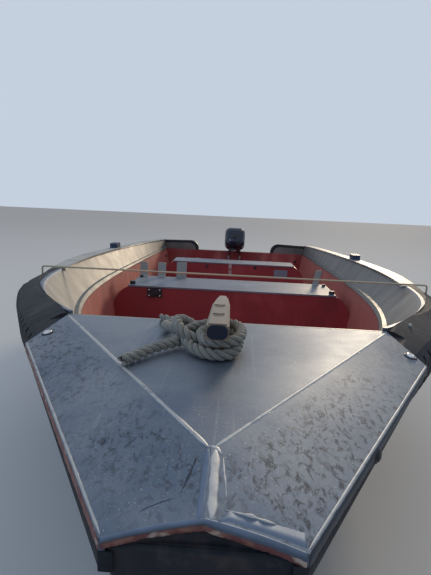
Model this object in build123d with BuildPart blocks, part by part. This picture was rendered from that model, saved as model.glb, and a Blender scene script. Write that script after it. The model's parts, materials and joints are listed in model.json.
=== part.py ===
"""Small open rowing boat with a stowed outboard motor. Millimetres, bow at -Y, stern at +Y, +Z up."""

from collections import namedtuple
from math import cos, pi, radians, sin, sqrt, tan
import os

from build123d import *

os.makedirs("parts", exist_ok=True)

# Hull, measured aft from the front edge of the foredeck plate and up from the keel
HULL_FRONT = 11
HULL_LENGTH = 3985
TRANSOM_THICKNESS = 45
TRANSOM_NOTCH_HEIGHT = 435
TRANSOM_NOTCH_HALF = 350
SHOULDER = 1380
COCKPIT_FRONT = 500
LINER_WALL = 8
TRIM_HEIGHT = 14
TRIM_DEPTH = 14
RIM_THICKNESS = 6
RIM_OVERHANG = 10
GUNWALE_WIDTH = 10
CORNER_CAP = 26
CORNER_RISE = 87
CORNER_RUN = 75
CORNER_OUTER = 676

# Foredeck plate
PLATE = 4
PANEL_HEIGHT = 670
PANEL_BACK = 492
PANEL_BACK_HALF = 288
APEX = 80
WING_SLOPE = 0.2347
WING_BACK = 380
WING_BACK_HALF = 314
FRONT_HALF = 74
FRONT_BOW = 8
FRONT_LIP = 5
FLANGE_FOOT = [(-50, 616), (0, 619), (WING_BACK, 640), (PANEL_BACK + 30, 668)]

# Cleat and rope
CLEAT = (-5, 350)
CLEAT_REACH = 100
CLEAT_HALF = 14.5
CLEAT_WAIST = 13
CLEAT_TIP = 8.5
CLEAT_EDGE = 3
CLEAT_STEM = (62, 26)
CLEAT_BASE = (96, 44, 20)
CLEAT_BASE_HEIGHT = 6
ROPE = 16
ROPE_GAP = 0.3
TURNS_OUTSIDE = (96, 60)
TURNS_HEIGHT = 26
KNOT_X = -50
KNOT_S = 352
KNOT_HALF = 20
KNOT_HEIGHT = 31

# Rowlock sockets and the line across
SOCKET_S = 2475
SOCKET_X = 760
SOCKET_BORE = 6.6
SOCKET_TOP = 607
SOCKET_LOW = 574
SOCKET_DEEP = 527
PASSAGE_GAP = 0.6
LINE_S = SHOULDER + 10
LINE_RADIUS = 3.5
LINE_Z = 611
LINE_X = 745
LINE_LOW = 545
EYE = (34, 20, 26)

# Thwarts
THWART_1_FRONT = 1930
THWART_1_DEPTH = 310
THWART_1_HALF = 540
THWART_1_TOP = 446
THWART_2_FRONT = 3060
THWART_2_DEPTH = 215
THWART_2_HALF = 470
THWART_2_TOP = 434
THWART_SHOULDER = 78
THWART_DROP = 120
SEAT_SHEET = 8
SEAT_NOSE = 4
LOCKER_WALL = 10
LOCKER_FLOOR = 140
LID_GAP = 0.3
LID_HINGE_AFT = 9
LID_PIN_RADIUS = 3
LID_KNUCKLE = 6
KNUCKLE_LENGTH = 30
KNUCKLE_X = 300
HASP_X = -22

# Outboard motor, in its own frame: origin on the tilt pin, y aft and z up with the leg upright
TILT = 68
PIN_AFT = 20
PIN_ABOVE = 20
PIN_RADIUS = 6
BARREL_RADIUS = 15
BARREL_HALF = 46
CLAMP_INNER = 48
CLAMP_PLATE = 10
CLAMP_ARM = 100
CLAMP_DEPTH = 84
SCREW_RADIUS = 6
STEER_AFT = 46
STEER_RADIUS = 12
STEER_TUBE = 20
STEER_TOP = -8
STEER_BOTTOM = -185
YOKE = 20
MOVING_GAP = 5
LEG_FRONT = 80
LEG_BACK = 138
LEG_HALF = 25
CAVITATION_DEPTH = 400
SHAFT_DEPTH = 496
GEARCASE = 31
GEARCASE_NOSE = 5
GEARCASE_WIDEST = 105
GEARCASE_FRONT = 40
GEARCASE_BACK = 172
SKEG_DEPTH = 600
SKEG_BACK = 142
SHAFT_RADIUS = 6
PROP_RADIUS = 88
HUB_LENGTH = 56
COWL_HALF = 95
COWL_FRONT = -42
COWL_BACK = 152
PAN_BOTTOM = 70
PAN_TOP = 125
COWL_TOP = 235
COWL_WALL = 5
TILLER_LENGTH = 290
RUNNING = 0.05
PRESS_GAP = 0.02

PIN_S = HULL_LENGTH + PIN_AFT
PIN_Z = TRANSOM_NOTCH_HEIGHT + PIN_ABOVE
OVERALL = PIN_S + SKEG_BACK * cos(radians(TILT)) + SKEG_DEPTH * sin(radians(TILT))
BOW_Y = -OVERALL / 2
MOTOR = Location((0, BOW_Y + PIN_S, PIN_Z), (TILT, 0, 0))

# Hull sections from bow to stern: half-widths and heights of each corner
HullRow = namedtuple(
    "HullRow", "s keel_w keel_z hollow_w hollow_z run_w run_z chine_w chine_z side_w side_z rim_w rim_z",
)
HULL_ROWS = [
    HullRow(HULL_FRONT, 20, 360, 34, 368, 50, 380, 60, 400, 66, 540, 72, 660),
    HullRow(500, 35, 90, 110, 116, 170, 124, 205, 170, 255, 420, 294, 670),
    HullRow(1000, 42, 18, 200, 62, 320, 42, 375, 95, 470, 370, 575, 634),
    HullRow(1600, 45, -4, 260, 42, 430, 4, 500, 55, 640, 330, 745, 595),
    HullRow(2400, 45, -4, 290, 36, 480, -4, 560, 45, 690, 310, 785, 574),
    HullRow(3200, 45, -4, 290, 32, 480, -4, 560, 40, 685, 290, 770, 550),
    HullRow(HULL_LENGTH, 45, -4, 280, 28, 470, -4, 545, 36, 650, 270, 722, 515),
]

# Open inside from the cockpit front to the transom: rim opening, trim line, liner side and floor corner
OpenRow = namedtuple("OpenRow", "s rim_w rim_z trim_w trim_z side_w side_z floor_w floor_z")
OPEN_ROWS = [
    OpenRow(COCKPIT_FRONT, 282, 670, 190, 545, 150, 350, 95, 260),
    OpenRow(1000, 558, 632, 465, 522, 420, 280, 340, 170),
    OpenRow(1600, 695, 596, 607, 490, 570, 225, 490, 112),
    OpenRow(2400, 735, 574, 664, 464, 628, 215, 535, 110),
    OpenRow(3200, 720, 550, 678, 446, 638, 210, 540, 110),
    OpenRow(HULL_LENGTH - TRANSOM_THICKNESS, 677, 518, 664, TRANSOM_NOTCH_HEIGHT, 625, 200, 525, 110),
]

# Bow fender sections: inner edge on the rim, crest over the hull's side and outer edge of the ribbed band
FenderRow = namedtuple("FenderRow", "s inner_w inner_z crest_w crest_z outer_w outer_z")
FENDER_ROWS = [
    FenderRow(HULL_FRONT, 30, 645, 48, 642, 66, 630),
    FenderRow(200, 100, 662, 132, 656, 165, 636),
    FenderRow(420, 225, PANEL_HEIGHT, 268, PANEL_HEIGHT - 3, 318, 640),
    FenderRow(500, 288, PANEL_HEIGHT + 4, 304, PANEL_HEIGHT + 1, 372, 640),
    FenderRow(725, 426, 655, 442, 651, 507, 622),
    FenderRow(950, 550, 637, 570, 633, 622, 604),
    FenderRow(1165, 608, 622, 640, 618, 722, 577),
    FenderRow(SHOULDER, 642, 606, 704, 602, 808, 548),
]
FENDER_DEEP = 86
RIB_PITCH = 35
RIB_GROOVE = 10
RIB_RISE = 7
RIB_FIRST = 440
PAD_OUTLINE = [(30, 545), (50, 556), (64, 592), (70, 638)]
PAD_DEPTH = 9
PAD_EDGE = 3


def station(s):
    """Upright plane across the boat, s aft of the plate's front edge."""
    return Plane.XZ.offset(-(BOW_Y + s))


def across(s, height=0):
    """Level plane with its origin on the centreline at s."""
    return Plane((0, BOW_Y + s, height))


def mirrored(half):
    """A closed outline from its right half, listed from the bottom up."""
    return half + [(-x, z) for x, z in reversed(half)]


def station_loft(rows, outline):
    """Solid lofted through one mirrored outline per row."""
    with BuildPart() as body:
        for row in rows:
            with BuildSketch(station(row.s)):
                with BuildLine():
                    Polyline(*mirrored(outline(row)), close=True)
                make_face()
        loft()
    return body.part


def above_line(line, lift=0, top=900, lead=200):
    """Everything above a side-view line of two arcs through five points."""
    pts = [(BOW_Y + s, z + lift) for s, z in line]
    start = (pts[0][0] - lead, pts[0][1])
    end = (pts[-1][0] + lead, pts[-1][1])
    with BuildPart() as prism:
        with BuildSketch(Plane.YZ):
            with BuildLine():
                Line(start, pts[0])
                ThreePointArc(pts[0], pts[1], pts[2])
                ThreePointArc(pts[2], pts[3], pts[4])
                Polyline(pts[4], end, (end[0], top), (start[0], top), start)
            make_face()
        extrude(amount=1000, both=True)
    return prism.part


SHEER = [(492, PANEL_HEIGHT), (930, 632), (SHOULDER, 601), (2600, 567), (HULL_LENGTH, 515)]
INSIDE_END = HULL_LENGTH - TRANSOM_THICKNESS
TRIM_LINE = [
    (COCKPIT_FRONT, 545), (900, 522), (1360, 499), (2500, 458),
    (INSIDE_END - 2 * LINER_WALL, TRANSOM_NOTCH_HEIGHT),
]


def hull_outline(row):
    """Right half of a hull section, flared on above the rim so that the sheer line can cut it."""
    rise = 740 - row.rim_z
    flare = (row.rim_w - row.side_w) / (row.rim_z - row.side_z)
    return [
        (row.keel_w, row.keel_z),
        (row.hollow_w, row.hollow_z),
        (row.run_w, row.run_z),
        (row.chine_w, row.chine_z),
        (row.side_w, row.side_z),
        (row.rim_w + flare * rise, 740),
    ]


def open_outline(row, inset=0):
    """Right half of the open inside at a station."""
    return [
        (row.floor_w - inset, row.floor_z + inset),
        (row.side_w - inset, row.side_z),
        (row.trim_w - inset, row.trim_z),
        (row.rim_w - inset, row.rim_z),
        (row.rim_w - inset, 800),
    ]


def wing_plane(side, drop):
    """Top plane of one wing of the foredeck plate, lowered by drop; its normal points up."""
    edge = Vector(side * PANEL_BACK_HALF, PANEL_BACK - APEX, 0)
    outward = Vector(side * edge.Y, -side * edge.X, 0).normalized()
    outward = Vector(side * abs(outward.X), -abs(outward.Y), 0)
    normal = Vector(outward.X * WING_SLOPE, outward.Y * WING_SLOPE, 1)
    return Plane((0, BOW_Y + APEX, PANEL_HEIGHT - drop), x_dir=edge, z_dir=normal)


def under_deck(drop):
    """Solid under the three top planes of the foredeck plate, lowered by drop."""
    with BuildPart() as under:
        with BuildSketch(across(0, 300)):
            Rectangle(900, 2 * (PANEL_BACK + 60))
        extrude(amount=PANEL_HEIGHT - drop - 300)
        for side in (-1, 1):
            with BuildSketch(wing_plane(side, drop)):
                Rectangle(2400, 2400)
            extrude(amount=300, mode=Mode.SUBTRACT)
    return under.part


def plate_plan(inset):
    """Plan outline of the foredeck plate as a tall prism, its front edge bowed inward."""
    with BuildPart() as plan:
        with BuildSketch(across(0, 560)):
            with BuildLine():
                Polyline(
                    (FRONT_HALF, 0),
                    (WING_BACK_HALF, WING_BACK),
                    (PANEL_BACK_HALF, PANEL_BACK),
                    (-PANEL_BACK_HALF, PANEL_BACK),
                    (-WING_BACK_HALF, WING_BACK),
                    (-FRONT_HALF, 0),
                )
                ThreePointArc((-FRONT_HALF, 0), (0, FRONT_BOW), (FRONT_HALF, 0))
            make_face()
            if inset:
                offset(amount=-inset, kind=Kind.INTERSECTION)
        extrude(amount=200)
    return plan.part


def below_flanges():
    """Everything below the lower edges of the plate's side flanges."""
    with BuildPart() as below:
        with BuildSketch(Plane.YZ):
            with BuildLine():
                foot = [(BOW_Y + s, z) for s, z in FLANGE_FOOT]
                Polyline(*foot, (foot[-1][0], 500), (foot[0][0], 500), close=True)
            make_face()
        extrude(amount=500, both=True)
    return below.part


def foredeck_plate():
    """Bent sheet with a flat triangular panel, two wings and side edges folded down."""
    with BuildPart() as sheet:
        add(plate_plan(0))
        add(under_deck(0), mode=Mode.INTERSECT)
        add(under_deck(PLATE), mode=Mode.SUBTRACT)
    with BuildPart() as front:
        with BuildSketch(across(0, 560)):
            Rectangle(2 * (FRONT_HALF - PLATE), 6 * FRONT_BOW)
        extrude(amount=200)
        add(under_deck(FRONT_LIP), mode=Mode.INTERSECT)
    with BuildPart() as edges:
        add(plate_plan(0))
        add(plate_plan(PLATE), mode=Mode.SUBTRACT)
        add(under_deck(0), mode=Mode.INTERSECT)
        add(below_flanges(), mode=Mode.SUBTRACT)
        add(front.part, mode=Mode.SUBTRACT)
    with BuildPart() as plate:
        add(sheet.part)
        add(edges.part)
    return plate.part


def hull_block():
    """Hull closed on top, cut to the sheer, its flat runners and the underside of the foredeck plate."""
    with BuildPart() as block:
        add(hull_loft)
        add(above_line(SHEER), mode=Mode.SUBTRACT)
        with BuildSketch(across(HULL_LENGTH / 2)):
            Rectangle(2400, 2 * HULL_LENGTH)
        extrude(amount=-300, mode=Mode.SUBTRACT)
        add(above_deck(), mode=Mode.SUBTRACT)
        add(plate, mode=Mode.SUBTRACT)
    return block.part


def above_deck():
    """Everything ahead of the plate's back edge that lies above the plate's underside."""
    with BuildPart() as above:
        with BuildSketch(across(PANEL_BACK / 2 - 100, 300)):
            Rectangle(890, PANEL_BACK + 200)
        extrude(amount=600)
        add(under_deck(PLATE), mode=Mode.SUBTRACT)
    return above.part


def keep(shape, label):
    """Name a finished piece and write it."""
    shape.label = label
    export_step(shape, f"parts/{label}.step")
    b = shape.bounding_box()
    print(label, len(shape.solids()), round(shape.volume / 1000), "cm3", b)
    return shape


plate = keep(foredeck_plate(), "foredeck_plate")
hull_loft = station_loft(HULL_ROWS, hull_outline)
closed_hull = hull_block()
open_space = station_loft(OPEN_ROWS, open_outline)


def transom_corner(side, inset, start):
    """One raised corner of the transom from start to its outer face, smaller by inset."""
    foot = TRANSOM_NOTCH_HALF + inset
    low = TRANSOM_NOTCH_HEIGHT
    top = low + CORNER_RISE - inset
    with BuildPart() as corner:
        with BuildSketch(station(HULL_LENGTH)):
            with BuildLine():
                ThreePointArc((side * foot, low),
                              (side * (foot + CORNER_RUN * 0.25), low + (top - low) * 0.7),
                              (side * (foot + CORNER_RUN), top))
                Polyline((side * (foot + CORNER_RUN), top), (side * CORNER_OUTER, top - 6),
                         (side * CORNER_OUTER, low), (side * foot, low))
            make_face()
        extrude(amount=HULL_LENGTH - start)
    return corner.part


def transom_top():
    """What is taken off the transom above its notch, outside the two raised corners."""
    with BuildPart() as cut:
        with BuildSketch(across(HULL_LENGTH, TRANSOM_NOTCH_HEIGHT)):
            Rectangle(2 * CORNER_OUTER, 2 * TRANSOM_THICKNESS)
        extrude(amount=200)
        for side in (-1, 1):
            add(transom_corner(side, CORNER_CAP, INSIDE_END), mode=Mode.SUBTRACT)
    return cut.part


with BuildPart() as hull:
    add(closed_hull)
    add(open_space, mode=Mode.SUBTRACT)
    add(transom_top(), mode=Mode.SUBTRACT)


def socket_bore(side, radius):
    """Upright bore under and through a rowlock socket."""
    with BuildPart() as bore:
        with BuildSketch(across(SOCKET_S, SOCKET_DEEP)):
            with Locations((side * SOCKET_X, 0)):
                Circle(radius)
        extrude(amount=SOCKET_TOP + 20 - SOCKET_DEEP)
    return bore.part


def below_trim(lift):
    """Everything in the cockpit below the trim line raised by lift."""
    with BuildPart() as below:
        with BuildSketch(across(HULL_LENGTH / 2, 40)):
            Rectangle(2000, HULL_LENGTH + 400)
        extrude(amount=600)
        add(above_line(TRIM_LINE, lift), mode=Mode.SUBTRACT)
    return below.part


def liner_inside(wall):
    """Space left inside the liner or inside its edge trim."""
    first = OPEN_ROWS[0]
    last = OPEN_ROWS[-1]
    rows = [first._replace(s=first.s + wall), *OPEN_ROWS[1:-1], last._replace(s=last.s - wall)]
    return station_loft(rows, lambda row: open_outline(row, wall))


def opening(inset):
    """The open inside, smaller all round by inset but no shorter."""
    return station_loft(OPEN_ROWS, lambda row: open_outline(row, inset))


with BuildPart() as bored_hull:
    add(hull.part)
    for side in (-1, 1):
        add(socket_bore(side, SOCKET_BORE + PASSAGE_GAP), mode=Mode.SUBTRACT)
keep(bored_hull.part, "hull")

inner_space = liner_inside(LINER_WALL)
with BuildPart() as liner:
    add(open_space)
    add(below_trim(0), mode=Mode.INTERSECT)
    add(inner_space, mode=Mode.SUBTRACT)
keep(liner.part, "liner")

with BuildPart() as liner_trim:
    add(open_space)
    add(below_trim(TRIM_HEIGHT), mode=Mode.INTERSECT)
    add(below_trim(0), mode=Mode.SUBTRACT)
    add(liner_inside(TRIM_DEPTH), mode=Mode.SUBTRACT)
    with BuildSketch(across(HULL_LENGTH)):
        Rectangle(1600, 2 * (TRANSOM_THICKNESS + 2 * TRIM_DEPTH))
    extrude(amount=900, mode=Mode.SUBTRACT)
keep(liner_trim.part, "liner_trim")

with BuildPart() as rim_ring:
    add(hull_loft)
    add(above_line(SHEER, RIM_THICKNESS), mode=Mode.SUBTRACT)
    add(above_line(SHEER), mode=Mode.INTERSECT)
    add(opening(RIM_OVERHANG), mode=Mode.SUBTRACT)
    with BuildSketch(across((COCKPIT_FRONT + INSIDE_END) / 2, 400)):
        Rectangle(2000, INSIDE_END - COCKPIT_FRONT)
    extrude(amount=400, mode=Mode.INTERSECT)

gunwale_space = opening(-GUNWALE_WIDTH)
with BuildPart() as gunwale_ring:
    add(rim_ring.part)
    add(gunwale_space, mode=Mode.INTERSECT)
    add(open_space, mode=Mode.SUBTRACT)


def rim_piece(ring, side, start, end):
    """One side of the rim between two places along the boat."""
    with BuildPart() as rim:
        add(ring)
        with BuildSketch(Plane.XY):
            with Locations((side * 500, BOW_Y + (start + end) / 2)):
                Rectangle(1000, end - start)
        extrude(amount=900, mode=Mode.INTERSECT)
        add(socket_bore(side, SOCKET_BORE + PASSAGE_GAP), mode=Mode.SUBTRACT)
    return rim.part


SIDES = [("starboard", -1), ("port", 1)]
for name, side in SIDES:
    keep(rim_piece(rim_ring.part, side, SHOULDER, INSIDE_END), f"rim_cap_{name}")
    keep(rim_piece(gunwale_ring.part, side, COCKPIT_FRONT, SHOULDER), f"gunwale_edge_{name}")


def fender_outline(row):
    """One fender section as a closed outline on the port side."""
    return [
        (row.inner_w, row.inner_z),
        (row.crest_w, row.crest_z),
        (row.outer_w - 14, row.outer_z + 4),
        (row.outer_w, row.outer_z - 14),
        (row.outer_w - 6, row.outer_z - FENDER_DEEP + 16),
        (row.outer_w - 26, row.outer_z - FENDER_DEEP),
        (row.inner_w - 20, row.outer_z - FENDER_DEEP - 20),
    ]


def rib_grooves():
    """Upright grooves between the ribs of the port fender's outer face."""
    with BuildSketch() as slots:
        for place in range(RIB_FIRST, SHOULDER - RIB_GROOVE, RIB_PITCH):
            with Locations((500, place)):
                Rectangle(900, RIB_GROOVE)
    with BuildPart() as grooves:
        with BuildSketch(across(0, 400)):
            with BuildLine():
                rail = Spline(*[(row.outer_w - RIB_RISE, row.s) for row in FENDER_ROWS[1:]])
                Polyline(rail @ 1, (900, SHOULDER), (900, FENDER_ROWS[1].s), rail @ 0)
            make_face()
            add(slots.sketch, mode=Mode.INTERSECT)
        extrude(amount=400)
    return grooves.part


with BuildPart() as fender:
    for row in FENDER_ROWS:
        with BuildSketch(station(row.s)):
            with BuildLine():
                Polyline(*fender_outline(row), close=True)
            make_face()
    loft()
    add(hull_loft, mode=Mode.SUBTRACT)
    add(above_deck(), mode=Mode.SUBTRACT)
    add(plate, mode=Mode.SUBTRACT)
    add(rib_grooves(), mode=Mode.SUBTRACT)
with BuildPart() as rim_cover:
    add(rim_piece(rim_ring.part, 1, COCKPIT_FRONT, SHOULDER))
    add(gunwale_space, mode=Mode.SUBTRACT)
with BuildPart() as fitted_fender:
    add(fender.part)
    add(rim_cover.part)
keep(fitted_fender.part, "bow_fender_port")
keep(mirror(fitted_fender.part, about=Plane.YZ), "bow_fender_starboard")

with BuildPart() as bow_pad:
    with BuildSketch(station(HULL_FRONT)):
        with BuildLine():
            Polyline(*mirrored(PAD_OUTLINE), close=True)
        make_face()
    extrude(amount=PAD_DEPTH)
    chamfer(bow_pad.faces().sort_by(Axis.Y)[0].edges(), PAD_EDGE)
keep(bow_pad.part, "bow_pad")

for name, side in SIDES:
    with BuildPart() as corner_cap:
        add(transom_corner(side, 0, INSIDE_END))
        add(transom_corner(side, CORNER_CAP, INSIDE_END), mode=Mode.SUBTRACT)
    keep(corner_cap.part, f"stern_corner_{name}")


def thwart_body(front, depth, half, top):
    """Moulded thwart box with rounded shoulders, fitted to the inside of the liner."""
    with BuildPart() as body:
        with BuildSketch(station(front + depth)):
            with BuildLine():
                Line((-half, top), (half, top))
                ThreePointArc((half, top), (half + 0.6 * THWART_SHOULDER, top - 0.3 * THWART_DROP),
                              (half + THWART_SHOULDER, top - THWART_DROP))
                Polyline((half + THWART_SHOULDER, top - THWART_DROP), (half + THWART_SHOULDER, 60),
                         (-half - THWART_SHOULDER, 60), (-half - THWART_SHOULDER, top - THWART_DROP))
                ThreePointArc((-half - THWART_SHOULDER, top - THWART_DROP),
                              (-half - 0.6 * THWART_SHOULDER, top - 0.3 * THWART_DROP), (-half, top))
            make_face()
        extrude(amount=depth)
        add(inner_space, mode=Mode.INTERSECT)
    return body.part


def seat_sheet(front, depth, half, top):
    """Flat seat top with rounded corners, its nose proud of the face below it."""
    with BuildPart() as sheet:
        with BuildSketch(across(front + (depth - SEAT_NOSE) / 2, top - SEAT_SHEET)):
            RectangleRounded(2 * half, depth + SEAT_NOSE, 18)
        extrude(amount=SEAT_SHEET)
    return sheet.part


keep(thwart_body(THWART_1_FRONT, THWART_1_DEPTH, THWART_1_HALF, THWART_1_TOP - SEAT_SHEET), "thwart_forward")
keep(seat_sheet(THWART_1_FRONT, THWART_1_DEPTH, THWART_1_HALF, THWART_1_TOP), "thwart_forward_top")

locker_top = THWART_2_TOP - SEAT_SHEET - LID_GAP
HINGE_S = THWART_2_FRONT + THWART_2_DEPTH + LID_HINGE_AFT
HINGE_Z = THWART_2_TOP - SEAT_SHEET / 2
with BuildPart() as locker:
    add(thwart_body(THWART_2_FRONT, THWART_2_DEPTH, THWART_2_HALF, locker_top))
    with BuildSketch(across(THWART_2_FRONT + THWART_2_DEPTH / 2, LOCKER_FLOOR)):
        RectangleRounded(2 * (THWART_2_HALF - 25), THWART_2_DEPTH - 2 * LOCKER_WALL, 12)
    extrude(amount=500, mode=Mode.SUBTRACT)
    for x in (KNUCKLE_LENGTH + 1 - KNUCKLE_X, KNUCKLE_X - KNUCKLE_LENGTH - 1):
        with BuildSketch(Plane.YZ.offset(x - KNUCKLE_LENGTH / 2)):
            with Locations((BOW_Y + HINGE_S, HINGE_Z)):
                Circle(LID_KNUCKLE)
            with BuildLine():
                Polyline(
                    (BOW_Y + HINGE_S - LID_HINGE_AFT, HINGE_Z - 30),
                    (BOW_Y + HINGE_S - LID_HINGE_AFT, HINGE_Z - 12),
                    (BOW_Y + HINGE_S - LID_KNUCKLE + 1, HINGE_Z - 2),
                    (BOW_Y + HINGE_S + LID_KNUCKLE - 1, HINGE_Z - 2),
                    close=True,
                )
            make_face()
            with Locations((BOW_Y + HINGE_S, HINGE_Z)):
                Circle(LID_PIN_RADIUS + PRESS_GAP, mode=Mode.SUBTRACT)
        extrude(amount=KNUCKLE_LENGTH)
keep(locker.part, "thwart_aft_locker")

with BuildPart() as lid:
    add(seat_sheet(THWART_2_FRONT, THWART_2_DEPTH, THWART_2_HALF, THWART_2_TOP))
    for x in (-KNUCKLE_X, KNUCKLE_X):
        with BuildSketch(Plane.YZ.offset(x - KNUCKLE_LENGTH / 2)):
            with Locations((BOW_Y + HINGE_S, HINGE_Z)):
                Circle(LID_KNUCKLE)
            with Locations((BOW_Y + HINGE_S - LID_HINGE_AFT / 2 - 5, HINGE_Z + 1)):
                Rectangle(LID_HINGE_AFT + 10, 5)
            with Locations((BOW_Y + HINGE_S, HINGE_Z)):
                Circle(LID_PIN_RADIUS + RUNNING, mode=Mode.SUBTRACT)
        extrude(amount=KNUCKLE_LENGTH)
keep(lid.part, "locker_lid")

with BuildPart() as lid_pins:
    for side in (-1, 1):
        with BuildSketch(Plane.YZ.offset(side * (KNUCKLE_X - (KNUCKLE_LENGTH + 1) / 2))):
            with Locations((BOW_Y + HINGE_S, HINGE_Z)):
                Circle(LID_PIN_RADIUS)
        extrude(amount=KNUCKLE_LENGTH + 1.5, both=True)
keep(lid_pins.part, "locker_hinge_pins")

with BuildPart() as hasp:
    with BuildSketch(station(THWART_2_FRONT - SEAT_NOSE)):
        with Locations((HASP_X, THWART_2_TOP - 22)):
            RectangleRounded(26, 44, 6)
    extrude(amount=3)
    with BuildSketch(station(THWART_2_FRONT - SEAT_NOSE - 3)):
        with Locations((HASP_X, THWART_2_TOP - 30)):
            Circle(8)
    extrude(amount=4)
keep(hasp.part, "locker_hasp")

with BuildPart() as catch:
    with BuildSketch(station(THWART_2_FRONT)):
        with Locations((HASP_X, THWART_2_TOP - 78)):
            RectangleRounded(26, 50, 6)
    extrude(amount=3)
    with BuildSketch(station(THWART_2_FRONT - 3)):
        with Locations((HASP_X, THWART_2_TOP - 86)):
            Circle(9)
    extrude(amount=8)
keep(catch.part, "locker_catch")

with BuildPart() as plates:
    with BuildSketch(station(THWART_2_FRONT)):
        with Locations((368, THWART_2_TOP - 62)):
            RectangleRounded(104, 58, 4)
    extrude(amount=2)
keep(plates.part, "blank_plate")

with BuildPart() as keeper:
    with BuildSketch(station(THWART_1_FRONT)):
        with Locations((-398, THWART_1_TOP - 34)):
            RectangleRounded(78, 48, 5)
    extrude(amount=4)
    with BuildSketch(station(THWART_1_FRONT - 4)):
        with Locations((-398, THWART_1_TOP - 34)):
            RectangleRounded(40, 22, 4)
    extrude(amount=5)
keep(keeper.part, "catch_plate")

with BuildPart() as knobs:
    with BuildSketch(across(THWART_1_FRONT + 36, THWART_1_TOP)):
        with Locations((-522, 0), (522, 0)):
            Circle(14)
    extrude(amount=16)
    with BuildSketch(across(THWART_1_FRONT + 252, THWART_1_TOP)):
        with Locations((-522, 0), (522, 0)):
            Circle(9)
    extrude(amount=12)
keep(knobs.part, "seat_knobs")

LUGS = [(-520, 46, 82, 0), (-414, 46, 84, 0), (-298, 58, 90, 0), (486, 36, 82, 14)]
with BuildPart() as lugs:
    for x, width, height, lean in LUGS:
        back = THWART_1_FRONT + THWART_1_DEPTH
        with BuildSketch(station(back)):
            with BuildLine():
                Polyline(
                    (x - width / 2, THWART_1_TOP),
                    (x + width / 2, THWART_1_TOP),
                    (x + width / 2 + lean, THWART_1_TOP + height - 5),
                    (x + width / 2 + lean - 5, THWART_1_TOP + height),
                    (x - width / 2 + lean + 5, THWART_1_TOP + height),
                    (x - width / 2 + lean, THWART_1_TOP + height - 5),
                    close=True,
                )
            make_face()
        extrude(amount=4)
        with BuildSketch(across(back - 14, THWART_1_TOP)):
            with Locations((x, 0)):
                Rectangle(width, 28)
        extrude(amount=3)
keep(lugs.part, "seat_lugs")


def rowlock_socket(side):
    """Block on the rim with an upright bore for a rowlock's pin."""
    with BuildPart() as socket:
        with BuildSketch(across(SOCKET_S, SOCKET_LOW)):
            with Locations((side * SOCKET_X, 0)):
                RectangleRounded(46, 90, 8)
        extrude(amount=SOCKET_TOP - SOCKET_LOW)
        add(rim_ring.part, mode=Mode.SUBTRACT)
        add(socket_bore(side, SOCKET_BORE), mode=Mode.SUBTRACT)
    return socket.part


for name, side in SIDES:
    keep(rowlock_socket(side), f"rowlock_socket_{name}")


with BuildPart() as line:
    with BuildLine():
        FilletPolyline(
            (-LINE_X, BOW_Y + LINE_S, LINE_LOW), (-LINE_X, BOW_Y + LINE_S, LINE_Z),
            (LINE_X, BOW_Y + LINE_S, LINE_Z), (LINE_X, BOW_Y + LINE_S, LINE_LOW), radius=9,
        )
    with BuildSketch(Plane((-LINE_X, BOW_Y + LINE_S, LINE_LOW))):
        Circle(LINE_RADIUS)
    sweep()
keep(line.part, "line_across")

with BuildPart() as eyes:
    for side in (-1, 1):
        with BuildSketch(across(LINE_S, LINE_LOW - EYE[2])):
            with Locations((side * LINE_X, 0)):
                RectangleRounded(EYE[0], EYE[1], 4)
        extrude(amount=EYE[2])
keep(eyes.part, "line_eyes")


# Foredeck fittings
cleat_x, cleat_s = CLEAT
CLEAT_SIDE = [
    (-CLEAT_REACH, 44), (-40, 34), (40, 34), (CLEAT_REACH, 50),
    (CLEAT_REACH + 6, 58), (60, 62), (0, 66), (-CLEAT_REACH, 66),
]


def cleat_plan(edge):
    """Plan outline of the cleat's bar, narrowing aft to a round tip, drawn in by edge."""
    tip = CLEAT_TIP - edge
    with BuildSketch() as plan:
        with BuildLine():
            Polyline((tip, CLEAT_REACH - 2), (CLEAT_WAIST - edge, 20), (CLEAT_HALF - edge, -CLEAT_REACH),
                     (edge - CLEAT_HALF, -CLEAT_REACH), (edge - CLEAT_WAIST, 20), (-tip, CLEAT_REACH - 2))
            ThreePointArc((-tip, CLEAT_REACH - 2), (0, CLEAT_REACH + tip - 2), (tip, CLEAT_REACH - 2))
        make_face()
    return plan.sketch


def cleat_side(drop):
    """The cleat's bar seen from the side, as a wide prism with its top lowered by drop."""
    half = len(CLEAT_SIDE) // 2
    with BuildPart() as bar:
        with BuildSketch(Plane.YZ.offset(cleat_x)):
            with BuildLine():
                foot = [(BOW_Y + cleat_s + s, PANEL_HEIGHT + z) for s, z in CLEAT_SIDE[:half]]
                top = [(BOW_Y + cleat_s + s, PANEL_HEIGHT + z - drop) for s, z in CLEAT_SIDE[half:]]
                Polyline(*foot, *top, close=True)
            make_face()
        extrude(amount=2 * CLEAT_HALF, both=True)
    return bar.part


def cleat_bar(drop, edge):
    """Bar of the cleat, its top lowered by drop and its sides drawn in by edge."""
    with BuildPart() as bar:
        with BuildSketch(across(cleat_s, PANEL_HEIGHT)):
            with Locations((cleat_x, 0)):
                add(cleat_plan(edge))
        extrude(amount=100)
        add(cleat_side(drop), mode=Mode.INTERSECT)
    return bar.part


with BuildPart() as cleat:
    add(cleat_bar(CLEAT_EDGE, 0))
    add(cleat_bar(0, CLEAT_EDGE))
    with BuildSketch(across(cleat_s, PANEL_HEIGHT)):
        with Locations((cleat_x, 0)):
            RectangleRounded(CLEAT_BASE[1], CLEAT_BASE[0], CLEAT_BASE[2])
    extrude(amount=CLEAT_BASE_HEIGHT)
    with BuildSketch(across(cleat_s, PANEL_HEIGHT)):
        with Locations((cleat_x, 0)):
            SlotOverall(*CLEAT_STEM, rotation=90)
    extrude(amount=40)
keep(cleat.part, "bow_cleat")

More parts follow.
